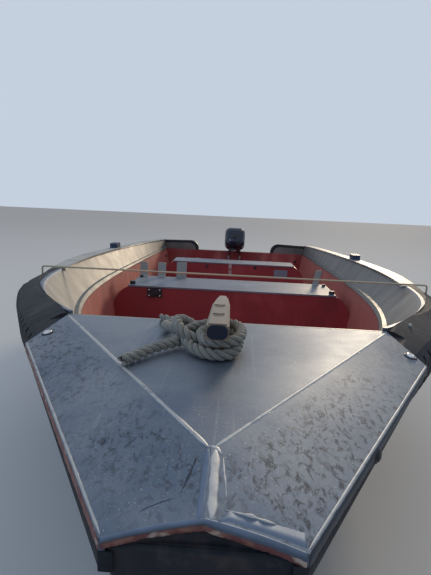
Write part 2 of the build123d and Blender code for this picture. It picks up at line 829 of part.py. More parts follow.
with BuildPart() as cleat_end:
    with BuildSketch(station(cleat_s - CLEAT_REACH)):
        with Locations((cleat_x, PANEL_HEIGHT + 55)):
            RectangleRounded(26, 18, 8.5)
    extrude(amount=3)
keep(cleat_end.part, "bow_cleat_end")

with BuildPart() as turns:
    with BuildSketch(across(cleat_s, PANEL_HEIGHT + CLEAT_BASE_HEIGHT + ROPE_GAP)):
        with Locations((cleat_x, 0)):
            SlotOverall(*TURNS_OUTSIDE, rotation=90)
            SlotOverall(*[size + 2 * ROPE_GAP for size in CLEAT_STEM], rotation=90, mode=Mode.SUBTRACT)
    extrude(amount=TURNS_HEIGHT)
    with BuildSketch(across(KNOT_S, PANEL_HEIGHT + ROPE_GAP)):
        with Locations((KNOT_X, 0)):
            Rectangle(2 * KNOT_HALF, 2 * KNOT_HALF, rotation=45)
    extrude(amount=KNOT_HEIGHT)
    with BuildSketch(across(cleat_s, PANEL_HEIGHT)):
        with Locations((cleat_x, 0)):
            RectangleRounded(CLEAT_BASE[1] + 2 * ROPE_GAP, CLEAT_BASE[0] + 2 * ROPE_GAP,
                             CLEAT_BASE[2] + ROPE_GAP)
    extrude(amount=CLEAT_BASE_HEIGHT + ROPE_GAP, mode=Mode.SUBTRACT)
keep(turns.part, "mooring_rope_turns")


def rope_tube(points, name):
    """Round rope along straight runs joined by arcs."""
    pts = [Vector(x, BOW_Y + s, z) for x, s, z in points]
    radii = []
    for a, b, c in zip(pts, pts[1:], pts[2:]):
        turn = (b - a).get_angle(c - b)
        radii.append(0.45 * min((b - a).length, (c - b).length) / tan(radians(turn / 2)))
    with BuildPart() as tube:
        with BuildLine() as path:
            FilletPolyline(*pts, radius=radii)
        with BuildSketch(Plane(pts[0], z_dir=pts[1] - pts[0])):
            Circle(ROPE / 2)
        sweep()
    length = sum(edge.length for edge in path.line.edges())
    print(name, "radii", [round(r) for r in radii], "length", round(length),
          "volume check", round(tube.part.volume / (pi * ROPE * ROPE / 4 * length), 4))
    return tube.part


ROPE_REST = PANEL_HEIGHT + ROPE / 2 + ROPE_GAP
KNOT_SIDE = KNOT_HALF / sqrt(2)
KNOT_WEST = KNOT_X - KNOT_SIDE
TAIL = [
    (-126, 258, ROPE_REST), (-110, 280, ROPE_REST),
    (KNOT_WEST - 29, KNOT_S - KNOT_SIDE - 29, ROPE_REST + 3), (KNOT_WEST, KNOT_S - KNOT_SIDE, ROPE_REST + 3),
]
LOOP = [
    (KNOT_WEST, KNOT_S + KNOT_SIDE, ROPE_REST + 10),
    (KNOT_WEST - 24, KNOT_S + KNOT_SIDE + 24, ROPE_REST + 10),
    (-98, 416, ROPE_REST + 4), (-84, 440, ROPE_REST), (-92, 462, ROPE_REST), (-112, 468, ROPE_REST),
]
keep(rope_tube(TAIL, "tail"), "mooring_rope_tail")
keep(rope_tube(LOOP, "loop"), "mooring_rope_loop")


# Outboard motor
def in_motor(plane):
    """A plane given in the motor's own frame, placed in the boat."""
    return Plane(MOTOR * plane.location)


def level(height):
    """Level plane of the motor's own frame at a height above the tilt pin."""
    return in_motor(Plane.XY.offset(height))


def lengthwise(x=0):
    """Upright fore-and-aft plane of the motor's own frame; its outlines are given as (y, z)."""
    return in_motor(Plane.YZ.offset(x))


def facing(y):
    """Upright plane across the motor's own frame, y aft of the tilt pin, its normal pointing forward."""
    return in_motor(Plane.XZ.offset(-y))


def clamp_bracket():
    """Two side plates hooked over the transom, with a tie rod between them."""
    top = -PIN_ABOVE
    aft_face = -PIN_AFT
    fore_face = aft_face - TRANSOM_THICKNESS - LINER_WALL
    with BuildPart() as clamp:
        for side in (-1, 1):
            middle = side * (CLAMP_INNER + CLAMP_PLATE / 2)
            with BuildSketch(Plane.YZ.offset(middle)):
                with BuildLine():
                    Polyline(*[
                        (BOW_Y + PIN_S + y, PIN_Z + z)
                        for y, z in [
                            (aft_face, top), (aft_face, -225), (0, -225), (14, -40), (16, 8), (6, 16),
                            (-36, 16), (-CLAMP_ARM, -2), (-CLAMP_ARM, -118), (fore_face - 9, -118),
                            (fore_face - 9, top),
                        ]
                    ], close=True)
                make_face()
                with Locations((BOW_Y + PIN_S, PIN_Z)):
                    Circle(PIN_RADIUS + PRESS_GAP, mode=Mode.SUBTRACT)
            extrude(amount=CLAMP_PLATE / 2, both=True)
            screw_z = PIN_Z - CLAMP_DEPTH
            with BuildSketch(Plane((middle, BOW_Y + PIN_S + fore_face - 9, screw_z), z_dir=(0, -1, 0))):
                Circle(13)
            extrude(amount=CLAMP_ARM + fore_face - 9 + 8)
            with BuildSketch(Plane((middle, BOW_Y + PIN_S + fore_face, screw_z), z_dir=(0, -1, 0))):
                Circle(SCREW_RADIUS + PRESS_GAP)
            extrude(amount=60, mode=Mode.SUBTRACT)
        with BuildSketch(Plane.YZ):
            with Locations((BOW_Y + PIN_S - 8, PIN_Z - 208)):
                Circle(7)
        extrude(amount=CLAMP_INNER, both=True)
    return clamp.part


def clamp_screws():
    """Two clamp screws with pads on the transom's inner face and cross handles."""
    pad_y = -PIN_AFT - TRANSOM_THICKNESS - LINER_WALL
    with BuildPart() as screws:
        for side in (-1, 1):
            middle = side * (CLAMP_INNER + CLAMP_PLATE / 2)
            screw_z = PIN_Z - CLAMP_DEPTH
            with BuildSketch(Plane((middle, BOW_Y + PIN_S + pad_y, screw_z), z_dir=(0, -1, 0))):
                Circle(15)
            extrude(amount=4)
            with BuildSketch(Plane((middle, BOW_Y + PIN_S + pad_y, screw_z), z_dir=(0, -1, 0))):
                Circle(SCREW_RADIUS)
            extrude(amount=66)
            with BuildSketch(Plane((middle, BOW_Y + PIN_S + pad_y - 58, screw_z), z_dir=(0, 0, 1))):
                Circle(4)
            extrude(amount=30, both=True)
    return screws.part


with BuildPart() as tilt_pin:
    with BuildSketch(lengthwise()):
        Circle(PIN_RADIUS)
    extrude(amount=CLAMP_INNER + CLAMP_PLATE + 8, both=True)
    for side in (-1, 1):
        with BuildSketch(lengthwise(side * (CLAMP_INNER + CLAMP_PLATE + 4))):
            RegularPolygon(10, 6)
        extrude(amount=4, both=True)

with BuildPart() as swivel:
    with BuildSketch(lengthwise()):
        Circle(BARREL_RADIUS)
    extrude(amount=BARREL_HALF, both=True)
    with BuildSketch(lengthwise()):
        with BuildLine():
            Polyline((0, BARREL_RADIUS - 1), (16, STEER_TOP), (STEER_AFT, STEER_TOP),
                     (STEER_AFT, STEER_BOTTOM), (STEER_AFT - 6, STEER_BOTTOM), (STEER_AFT - 14, -60),
                     (0, 1 - BARREL_RADIUS), close=True)
        make_face()
    extrude(amount=16, both=True)
    with BuildSketch(level(STEER_BOTTOM)):
        with Locations((0, STEER_AFT)):
            Circle(STEER_TUBE)
    extrude(amount=STEER_TOP - STEER_BOTTOM)
    with BuildSketch(level(STEER_BOTTOM - 10)):
        with Locations((0, STEER_AFT)):
            Circle(STEER_RADIUS + RUNNING)
    extrude(amount=STEER_TOP - STEER_BOTTOM + 20, mode=Mode.SUBTRACT)
    with BuildSketch(lengthwise()):
        Circle(PIN_RADIUS + RUNNING)
    extrude(amount=BARREL_HALF + 5, both=True, mode=Mode.SUBTRACT)


def leg_outline(front, back, half):
    """Streamlined plan outline of the leg."""
    with BuildSketch() as plan:
        with BuildLine():
            ThreePointArc((-half, front + half), (0, front), (half, front + half))
            ThreePointArc((half, front + half), (half * 0.72, (front + back) / 2 + half * 0.6), (0, back))
            ThreePointArc((0, back), (-half * 0.72, (front + back) / 2 + half * 0.6), (-half, front + half))
        make_face()
    return plan.sketch


def yoke(bottom, top):
    """Arm from the steering pin back into the leg."""
    with BuildPart() as arm:
        with BuildSketch(level(bottom)):
            with Locations((0, STEER_AFT)):
                Circle(STEER_TUBE + 2)
            with Locations((0, (STEER_AFT + LEG_FRONT + 20) / 2)):
                Rectangle(2 * STEER_TUBE, LEG_FRONT + 20 - STEER_AFT)
        extrude(amount=top - bottom)
    return arm.part


with BuildPart() as leg:
    with BuildSketch(level(-CAVITATION_DEPTH)):
        add(leg_outline(LEG_FRONT, LEG_BACK, LEG_HALF))
    extrude(amount=CAVITATION_DEPTH + PAN_BOTTOM)
    add(yoke(STEER_TOP + MOVING_GAP, STEER_TOP + MOVING_GAP + YOKE))
    add(yoke(STEER_BOTTOM - MOVING_GAP - YOKE, STEER_BOTTOM - MOVING_GAP))
    with BuildSketch(level(STEER_BOTTOM - MOVING_GAP - YOKE)):
        with Locations((0, STEER_AFT)):
            Circle(STEER_RADIUS)
    extrude(amount=STEER_TOP - STEER_BOTTOM + 2 * MOVING_GAP + YOKE)
    with BuildSketch(level(STEER_TOP + MOVING_GAP + YOKE)):
        with Locations((0, (STEER_AFT + LEG_BACK) / 2 - 12)):
            RectangleRounded(2 * LEG_HALF, LEG_BACK - STEER_AFT + 16, 20)
    extrude(amount=PAN_BOTTOM - STEER_TOP - MOVING_GAP - YOKE)

with BuildPart() as gearcase:
    with BuildSketch(Plane((0, 0, -SHAFT_DEPTH))):
        with BuildLine():
            Polyline((GEARCASE_NOSE, GEARCASE_FRONT), (0, GEARCASE_FRONT), (0, GEARCASE_BACK),
                     (GEARCASE - 6, GEARCASE_BACK), (GEARCASE, GEARCASE_WIDEST))
            ThreePointArc((GEARCASE, GEARCASE_WIDEST),
                          (GEARCASE * 0.75, (GEARCASE_FRONT + GEARCASE_WIDEST) / 2 - 6),
                          (GEARCASE_NOSE, GEARCASE_FRONT))
        make_face()
    revolve(axis=Axis((0, 0, -SHAFT_DEPTH), (0, 1, 0)))

with BuildPart() as lower_unit:
    add(MOTOR * gearcase.part)
    with BuildSketch(level(-SHAFT_DEPTH + 8)):
        add(leg_outline(LEG_FRONT - 4, LEG_BACK + 18, 19))
    extrude(amount=SHAFT_DEPTH - 8 - CAVITATION_DEPTH)
    with BuildSketch(level(-CAVITATION_DEPTH - 6)):
        with Locations((0, 142)):
            RectangleRounded(128, 212, 40)
    extrude(amount=6)
    with BuildSketch(lengthwise()):
        with BuildLine():
            Polyline((78, -SHAFT_DEPTH - 8), (112, -SKEG_DEPTH), (SKEG_BACK, -SKEG_DEPTH),
                     (SKEG_BACK + 6, -SHAFT_DEPTH - 8), close=True)
        make_face()
    extrude(amount=4, both=True)
    with BuildSketch(facing(GEARCASE_BACK + 1)):
        with Locations((0, -SHAFT_DEPTH)):
            Circle(SHAFT_RADIUS + RUNNING)
    extrude(amount=50, mode=Mode.SUBTRACT)

PROP_FRONT = GEARCASE_BACK + 5
BLADE_PITCH = 22
with BuildPart() as propeller:
    with BuildSketch(facing(PROP_FRONT + HUB_LENGTH)):
        with Locations((0, -SHAFT_DEPTH)):
            Circle(25)
    extrude(amount=HUB_LENGTH)
    for turn in (-90, 30, 150):
        hub_middle = Location((0, PROP_FRONT + HUB_LENGTH / 2, -SHAFT_DEPTH), (0, turn, 0))
        pitched = hub_middle * Location((0, 0, 0), (BLADE_PITCH, 0, 0))
        with BuildSketch(Plane(MOTOR * pitched * Plane.XZ.offset(-2.5).location)):
            with Locations((PROP_RADIUS - 36, 0)):
                Ellipse(36, 33)
            with Locations((26, 0)):
                Rectangle(20, 34)
        extrude(amount=5)
    with BuildSketch(facing(PROP_FRONT + HUB_LENGTH + 1)):
        with Locations((0, -SHAFT_DEPTH)):
            Circle(SHAFT_RADIUS + PRESS_GAP)
    extrude(amount=HUB_LENGTH + 20, mode=Mode.SUBTRACT)

with BuildPart() as prop_shaft:
    with BuildSketch(facing(PROP_FRONT + HUB_LENGTH + 14)):
        with Locations((0, -SHAFT_DEPTH)):
            Circle(SHAFT_RADIUS)
    extrude(amount=HUB_LENGTH + 14 + 5 + 44)
    with BuildSketch(facing(PROP_FRONT + HUB_LENGTH + 10)):
        with Locations((0, -SHAFT_DEPTH)):
            RegularPolygon(11, 6)
    extrude(amount=10)

COWL_MIDDLE = (COWL_FRONT + COWL_BACK) / 2
COWL_LENGTH = COWL_BACK - COWL_FRONT
with BuildPart() as pan:
    with BuildSketch(level(PAN_BOTTOM)):
        with Locations((0, (5 + LEG_BACK + 4) / 2)):
            RectangleRounded(110, LEG_BACK - 1, 30)
    with BuildSketch(level(PAN_BOTTOM + 32)):
        with Locations((0, COWL_MIDDLE)):
            RectangleRounded(2 * COWL_HALF, COWL_LENGTH, 50)
    loft()
    with BuildSketch(level(PAN_BOTTOM + 32)):
        with Locations((0, COWL_MIDDLE)):
            RectangleRounded(2 * COWL_HALF, COWL_LENGTH, 50)
    extrude(amount=PAN_TOP - PAN_BOTTOM - 32)


def cowl_shape(inset):
    """Cowling body with drawn-in top, smaller all round by inset."""
    with BuildPart() as shape:
        with BuildSketch(level(PAN_TOP)):
            with Locations((0, COWL_MIDDLE)):
                RectangleRounded(2 * COWL_HALF - 2 * inset, COWL_LENGTH - 2 * inset, 50 - inset)
        with BuildSketch(level(COWL_TOP - 40)):
            with Locations((0, COWL_MIDDLE)):
                RectangleRounded(2 * COWL_HALF - 8 - 2 * inset, COWL_LENGTH - 8 - 2 * inset, 48 - inset)
        loft()
        with BuildSketch(level(COWL_TOP - 40)):
            with Locations((0, COWL_MIDDLE)):
                RectangleRounded(2 * COWL_HALF - 8 - 2 * inset, COWL_LENGTH - 8 - 2 * inset, 48 - inset)
        with BuildSketch(level(COWL_TOP - 12 - inset)):
            with Locations((0, COWL_MIDDLE)):
                RectangleRounded(2 * COWL_HALF - 44 - 2 * inset, COWL_LENGTH - 40 - 2 * inset, 36 - inset)
        loft()
        with BuildSketch(level(COWL_TOP - 12 - inset)):
            with Locations((0, COWL_MIDDLE)):
                RectangleRounded(2 * COWL_HALF - 44 - 2 * inset, COWL_LENGTH - 40 - 2 * inset, 36 - inset)
        with BuildSketch(level(COWL_TOP - inset)):
            with Locations((0, COWL_MIDDLE)):
                RectangleRounded(2 * COWL_HALF - 92 - 2 * inset, COWL_LENGTH - 84 - 2 * inset, 24 - inset)
        loft()
    return shape.part


with BuildPart() as cowling:
    add(cowl_shape(0))
    add(cowl_shape(COWL_WALL), mode=Mode.SUBTRACT)

with BuildPart() as engine:
    with BuildSketch(level(PAN_TOP)):
        with Locations((0, COWL_MIDDLE)):
            Rectangle(104, 118)
    extrude(amount=72)

with BuildPart() as grip:
    with BuildSketch(facing(COWL_FRONT + 1)):
        with Locations((-24, PAN_TOP + 34)):
            RectangleRounded(58, 20, 9)
    extrude(amount=12)
    add(cowl_shape(0), mode=Mode.SUBTRACT)

with BuildPart() as cap:
    with BuildSketch(level(COWL_TOP)):
        with Locations((0, COWL_MIDDLE - 4)):
            Circle(19)
    extrude(amount=14)

TILLER_S = COWL_FRONT - 20
TILLER_Z = PAN_TOP - 8
with BuildPart() as tiller:
    with BuildSketch(level(TILLER_Z - 10)):
        with Locations((34, TILLER_S)):
            RectangleRounded(26, 24, 6)
    extrude(amount=TILLER_LENGTH * 0.55)
    with BuildSketch(level(TILLER_Z - 10)):
        with Locations((34, TILLER_S)):
            Circle(9)
    extrude(amount=TILLER_LENGTH * 0.6)
    with BuildSketch(level(TILLER_Z - 10)):
        with Locations((34, (TILLER_S + COWL_FRONT) / 2)):
            Rectangle(22, COWL_FRONT - TILLER_S)
    extrude(amount=18)

with BuildPart() as tiller_grip:
    with BuildSketch(level(TILLER_Z - 10 + TILLER_LENGTH * 0.6)):
        with Locations((34, TILLER_S)):
            Circle(16)
    extrude(amount=TILLER_LENGTH * 0.4)

keep(clamp_bracket(), "clamp_bracket")
keep(clamp_screws(), "clamp_screws")
for piece, label in [
    (tilt_pin, "tilt_pin"), (swivel, "swivel_bracket"), (leg, "motor_leg"), (lower_unit, "motor_lower_unit"),
    (propeller, "propeller"), (prop_shaft, "propeller_shaft"), (pan, "motor_pan"), (cowling, "motor_cowling"),
    (engine, "engine_block"), (grip, "starter_grip"), (cap, "filler_cap"), (tiller, "tiller_arm"),
    (tiller_grip, "tiller_grip"),
]:
    keep(piece.part, label)
print("overall", round(OVERALL, 2), "bow", round(BOW_Y, 2))
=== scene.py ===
import json
import math
import random

import bmesh
import bpy
from mathutils import Matrix, Vector


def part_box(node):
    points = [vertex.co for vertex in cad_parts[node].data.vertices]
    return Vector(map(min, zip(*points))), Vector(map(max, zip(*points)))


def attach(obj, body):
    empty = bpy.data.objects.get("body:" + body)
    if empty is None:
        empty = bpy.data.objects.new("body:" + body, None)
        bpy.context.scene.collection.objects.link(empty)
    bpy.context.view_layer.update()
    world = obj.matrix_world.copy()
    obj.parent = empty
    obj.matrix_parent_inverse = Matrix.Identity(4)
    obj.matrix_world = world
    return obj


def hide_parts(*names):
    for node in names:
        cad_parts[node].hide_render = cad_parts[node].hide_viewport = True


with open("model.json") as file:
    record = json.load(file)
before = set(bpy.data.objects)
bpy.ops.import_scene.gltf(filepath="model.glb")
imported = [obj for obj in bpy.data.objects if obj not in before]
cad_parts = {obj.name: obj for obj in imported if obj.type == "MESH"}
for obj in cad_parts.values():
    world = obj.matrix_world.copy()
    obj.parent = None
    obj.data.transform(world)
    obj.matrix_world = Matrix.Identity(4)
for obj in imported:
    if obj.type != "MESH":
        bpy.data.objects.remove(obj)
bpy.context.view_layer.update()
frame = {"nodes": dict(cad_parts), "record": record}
NODES = frame["nodes"]
rng = random.Random(7)

# Where the bow and the inner aft wall are, in metres
BOW_Y = -2.307252
AFT_WALL = BOW_Y + 3.925

# Rope: its thickness, one strand's radius, one strand's full turn, and how far out three touching strands lie
ROPE_D = 0.016
STRAND = 0.232 * ROPE_D
LAY = 2.35 * ROPE_D
STRANDS_OUT = 1.1547

# Foredeck plate in millimetres, as in the solids: front edge, flat panel, and the fall of its wings
FRONT_HALF = 74
FRONT_BOW = 8
FRONT_REACH = 73
PANEL_HEIGHT = 670
APEX = 80
WING_SLOPE = 0.2347
WING_ACROSS = 0.8196
WING_ALONG = 0.5729
FLANGE_FOOT = [(-50, 616), (0, 619), (380, 640), (522, 668)]
FLANGE_OUT_X = 0.8456
FLANGE_OUT_S = 0.534
PAD_TOP = 634
CLEAT_TOP = 736


def at(x, s, z):
    """A point from x, s and z in millimetres, s counted aft from the foredeck plate's front edge."""
    return Vector((x / 1000, BOW_Y + s / 1000, z / 1000))


# Camera: its lens in pixels of a picture 575 pixels high, its turns and its place
LENS_PIXELS = 432
PICTURE_HEIGHT = 575
SENSOR = 36
PITCH = math.radians(10.94)
ROLL = math.radians(2.55)
YAW = math.radians(2.44)
camera_data = bpy.data.cameras.new("camera")
camera_data.sensor_fit = "VERTICAL"
camera_data.sensor_height = SENSOR
camera_data.lens = LENS_PIXELS / PICTURE_HEIGHT * SENSOR
camera_data.clip_start = 0.02
camera = bpy.data.objects.new("camera", camera_data)
bpy.context.scene.collection.objects.link(camera)
turn = Matrix.Rotation(YAW, 4, "Z") @ Matrix.Rotation(math.pi / 2 - PITCH, 4, "X")
turn = turn @ Matrix.Rotation(ROLL, 4, "Z")
camera.matrix_world = Matrix.Translation(at(12, -262, 880)) @ turn
bpy.context.scene.camera = camera


# Materials
class Shader:
    """A node tree built step by step round one principled shader."""

    def __init__(self, name):
        self.material = bpy.data.materials.new(name)
        self.material.use_nodes = True
        self.tree = self.material.node_tree
        self.shader = next(n for n in self.tree.nodes if n.type == "BSDF_PRINCIPLED")
        self.place = self.add("ShaderNodeTexCoord").outputs["Object"]

    def add(self, kind, **values):
        node = self.tree.nodes.new(kind)
        for key, value in values.items():
            setattr(node, key, value)
        return node

    def link(self, out, socket):
        self.tree.links.new(out, socket)

    def stretched(self, scale):
        """Object coordinates scaled along each axis."""
        mapping = self.add("ShaderNodeMapping")
        mapping.inputs["Scale"].default_value = scale
        self.link(self.place, mapping.inputs["Vector"])
        return mapping.outputs["Vector"]

    def axis(self, letter):
        """One of the object coordinates in metres."""
        parts = self.add("ShaderNodeSeparateXYZ")
        self.link(self.place, parts.inputs["Vector"])
        return parts.outputs[letter]

    def noise(self, scale, detail=3.0, rough=0.55, stretch=(1, 1, 1), twist=0.0):
        node = self.add("ShaderNodeTexNoise")
        node.inputs["Scale"].default_value = scale
        node.inputs["Detail"].default_value = detail
        node.inputs["Roughness"].default_value = rough
        node.inputs["Distortion"].default_value = twist
        self.link(self.stretched(stretch), node.inputs["Vector"])
        return node.outputs["Fac"]

    def ramp(self, fac, low, high):
        """A factor from 0 at low to 1 at high."""
        node = self.add("ShaderNodeMapRange")
        node.inputs["From Min"].default_value = low
        node.inputs["From Max"].default_value = high
        self.link(fac, node.inputs["Value"])
        return node.outputs["Result"]

    def times(self, a, b):
        node = self.add("ShaderNodeMath", operation="MULTIPLY")
        self.link(a, node.inputs[0])
        if isinstance(b, (int, float)):
            node.inputs[1].default_value = b
        else:
            self.link(b, node.inputs[1])
        return node.outputs["Value"]

    def wave(self, value, per_metre):
        """A smooth wave from 0 to 1 along a coordinate in metres."""
        node = self.add("ShaderNodeMath", operation="SINE")
        self.link(self.times(value, 2 * math.pi * per_metre), node.inputs[0])
        return self.ramp(node.outputs["Value"], -1.0, 1.0)

    def mix(self, fac, first, second):
        node = self.add("ShaderNodeMix", data_type="RGBA")
        self.link(fac, node.inputs["Factor"])
        first_colour, second_colour = node.inputs[6], node.inputs[7]
        for socket, value in ((first_colour, first), (second_colour, second)):
            if isinstance(value, tuple):
                socket.default_value = (*value, 1.0)
            else:
                self.link(value, socket)
        return node.outputs[2]

    def colour(self, value):
        if isinstance(value, tuple):
            self.shader.inputs["Base Color"].default_value = (*value, 1.0)
        else:
            self.link(value, self.shader.inputs["Base Color"])

    def roughness(self, fac, low, high):
        node = self.add("ShaderNodeMapRange")
        node.inputs["To Min"].default_value = low
        node.inputs["To Max"].default_value = high
        self.link(fac, node.inputs["Value"])
        self.link(node.outputs["Result"], self.shader.inputs["Roughness"])

    def bump(self, height, depth_mm, strength=1.0):
        node = self.add("ShaderNodeBump")
        node.inputs["Strength"].default_value = strength
        node.inputs["Distance"].default_value = depth_mm / 1000
        self.link(height, node.inputs["Height"])
        last = self.shader.inputs["Normal"]
        if last.is_linked:
            self.link(last.links[0].from_socket, node.inputs["Normal"])
        self.link(node.outputs["Normal"], last)

    def set(self, **values):
        for key, value in values.items():
            self.shader.inputs[key.replace("_", " ")].default_value = value


def plastic(name, colour, dirt, rough=(0.42, 0.62), scratches=True, streaks=0.0, aft=None):
    """Moulded plastic with soft dirt, fine scratches, run-off streaks and a slightly pebbled skin.

    The optional aft colour is painted shade: a darker red given to the aft wall by its position, as that wall
    faces away from the light."""
    m = Shader(name)
    blotches = m.ramp(m.noise(3.5, 5.0, 0.6), 0.50, 0.70)
    # Painted shade: the aft wall takes the darker aft colour by its position
    clean = m.mix(m.ramp(m.axis("Y"), AFT_WALL - 0.012, AFT_WALL), colour, aft) if aft else colour
    shade = m.mix(m.times(blotches, 0.55), clean, dirt)
    if streaks:
        runs = m.ramp(m.noise(5.0, 4.0, 0.6, stretch=(0.9, 2.2, 0.35), twist=0.4), 0.46, 0.66)
        shade = m.mix(m.times(runs, streaks), shade, dirt)
        chalk = m.ramp(m.noise(4.0, 4.0, 0.6, stretch=(1.0, 1.6, 0.5), twist=0.3), 0.56, 0.70)
        pale_chalk = tuple(min(1.0, c * 1.5 + 0.04) for c in colour)
        shade = m.mix(m.times(chalk, 0.45), shade, pale_chalk)
    if scratches:
        lines = m.ramp(m.noise(9.0, 2.0, 0.5, stretch=(14, 1, 22), twist=0.3), 0.66, 0.72)
        pale = tuple(min(1.0, c * 1.25 + 0.05) for c in colour)
        shade = m.mix(m.times(lines, 0.35), shade, pale)
    specks = m.ramp(m.noise(140, 2.0, 0.6), 0.62, 0.70)
    shade = m.mix(m.times(specks, 0.25), shade, dirt)
    m.colour(shade)
    m.roughness(m.noise(12, 4.0), *rough)
    m.bump(m.noise(700, 2.0), 0.12, 0.5)
    m.bump(m.noise(14, 2.0), 0.8, 0.35)
    m.set(Specular_IOR_Level=0.4)
    return m.material


def metal(name, colour, dark, rough=(0.3, 0.5), metallic=1.0):
    """Bare metal with a drawn grain and dull spots."""
    m = Shader(name)
    dull = m.ramp(m.noise(30, 4.0), 0.5, 0.7)
    m.colour(m.mix(m.times(dull, 0.6), colour, dark))
    m.roughness(m.noise(25, 4.0), *rough)
    m.bump(m.noise(20, 3.0, stretch=(1, 40, 40)), 0.05, 0.6)
    m.set(Metallic=metallic)
    return m.material


def worn_sheet():
    """Aluminium sheet: cloudy bloom, dark bluish flecks in drifts and blots on the wings only (partly
    spotting, partly painted shade that darkens the wings), fine sparkle, long scratches.
    """
    m = Shader("worn_aluminium")
    clouds = m.noise(5.5, 5.0, 0.62)
    bloom = m.mix(m.ramp(clouds, 0.36, 0.66), (0.085, 0.122, 0.182), (0.195, 0.225, 0.265))
    # The wings, below the panel's height, take dark bluish flecks and blots: partly spotting, partly painted
    # shade
    wing = m.ramp(m.axis("Z"), 0.6685, 0.6645)
    drifts = m.times(m.ramp(m.noise(4.4, 4.0, 0.6), 0.36, 0.54), wing)
    flecks = m.ramp(m.noise(160, 4.0, 0.7, stretch=(1.0, 0.6, 1.0), twist=0.5), 0.50, 0.62)
    spotted = m.mix(m.times(m.times(flecks, drifts), 0.85), bloom, (0.026, 0.032, 0.044))
    blots = m.ramp(m.noise(62, 3.0, 0.6, stretch=(1.0, 0.65, 1.0), twist=0.4), 0.60, 0.72)
    spotted = m.mix(m.times(m.times(blots, wing), 0.55), spotted, (0.060, 0.070, 0.088))
    grain = m.ramp(m.noise(330, 3.0, 0.7, stretch=(1.0, 0.7, 1.0)), 0.50, 0.66)
    spotted = m.mix(m.times(grain, 0.45), spotted, (0.15, 0.165, 0.19))
    sparkle = m.ramp(m.noise(410, 2.0, 0.6), 0.64, 0.72)
    spotted = m.mix(m.times(sparkle, 0.45), spotted, (0.50, 0.50, 0.49))
    scratch = m.ramp(m.noise(150, 1.5, 0.5, stretch=(1.0, 0.02, 1.0), twist=0.1), 0.69, 0.72)
    scratched = m.mix(m.times(scratch, 0.12), spotted, (0.42, 0.43, 0.44))
    cross = m.ramp(m.noise(110, 1.5, 0.5, stretch=(0.03, 1.0, 1.0), twist=0.1), 0.70, 0.72)
    scratched = m.mix(m.times(cross, 0.35), scratched, (0.12, 0.12, 0.13))
    m.colour(scratched)
    m.roughness(m.noise(9, 5.0, 0.65), 0.44, 0.64)
    m.bump(m.noise(260, 3.0, 0.7, stretch=(1.0, 0.5, 1.0)), 0.14, 0.6)
    m.bump(clouds, 1.5, 0.25)
    m.set(Metallic=0.75)
    return m.material


def torn_edge():
    """Bare sheet edge with red-brown paint remains and pale flecks."""
    m = Shader("torn_edge")
    patches = m.ramp(m.noise(60, 4.0, 0.6, stretch=(1.0, 0.5, 1.0)), 0.42, 0.58)
    shade = m.mix(patches, (0.16, 0.055, 0.055), (0.28, 0.13, 0.10))
    pale = m.ramp(m.noise(85, 3.0, 0.6, stretch=(0.6, 0.6, 1.0)), 0.60, 0.68)
    shade = m.mix(m.times(pale, 0.8), shade, (0.58, 0.47, 0.40))
    m.colour(shade)
    m.roughness(m.noise(60, 4.0), 0.5, 0.8)
    m.bump(m.noise(240, 4.0, 0.7), 0.5, 0.9)
    return m.material


def sheet_painted_highlight():
    """The sheet where it is folded: pale as a painted highlight, with dull breaks."""
    m = Shader("sheet_painted_highlight")
    breaks = m.ramp(m.noise(34, 4.0, 0.65), 0.54, 0.68)
    m.colour(m.mix(m.times(breaks, 0.7), (0.40, 0.41, 0.415), (0.20, 0.225, 0.265)))
    m.roughness(m.noise(50, 4.0), 0.42, 0.62)
    m.bump(m.noise(200, 3.0, 0.6), 0.15, 0.6)
    m.set(Metallic=0.8)
    return m.material


def rubber(name, colour, worn, share=(0.56, 0.70), lines=0.0, scuffs=0.30, gloss=0.35):
    """Dull rubber with grey-brown chalky wear and, on the fenders, fine lines across."""
    m = Shader(name)
    wear = m.ramp(m.noise(5, 5.0, 0.65), *share)
    shade = m.mix(m.times(wear, 0.55), colour, worn)
    scuff = m.ramp(m.noise(60, 3.0, 0.6, stretch=(1, 0.3, 1)), 0.60, 0.70)
    shade = m.mix(m.times(scuff, scuffs), shade, worn)
    if lines:
        fine = m.wave(m.axis("Y"), lines)
        streak = m.ramp(m.noise(130, 3.0, 0.6, stretch=(0.05, 1.0, 0.05)), 0.45, 0.62)
        shade = m.mix(m.times(streak, 0.14), shade, worn)
        m.bump(fine, 0.6, 0.8)
    m.colour(shade)
    m.roughness(m.noise(20, 4.0), 0.55, 0.85)
    m.bump(m.noise(300, 3.0), 0.2, 0.5)
    m.set(Specular_IOR_Level=gloss)
    return m.material


def paint(name, colour, rough=(0.25, 0.45), coat=0.3, gloss=0.5):
    """Paint on metal with orange peel, dust and small chips."""
    m = Shader(name)
    dust = m.ramp(m.noise(6, 5.0, 0.6), 0.5, 0.75)
    dusty = tuple(c * 0.6 + 0.06 for c in colour)
    shade = m.mix(m.times(dust, 0.18), colour, dusty)
    chips = m.ramp(m.noise(70, 3.0, 0.6), 0.73, 0.76)
    shade = m.mix(m.times(chips, 0.6), shade, (0.30, 0.31, 0.32))
    m.colour(shade)
    m.roughness(m.noise(14, 4.0), *rough)
    m.bump(m.noise(450, 2.0), 0.05, 0.5)
    m.set(Coat_Weight=coat, Coat_Roughness=0.2, Specular_IOR_Level=gloss)
    return m.material


# Stripes across one strand, and along it for each metre
YARNS = 6.0
YARNS_PER_METRE = 150.0


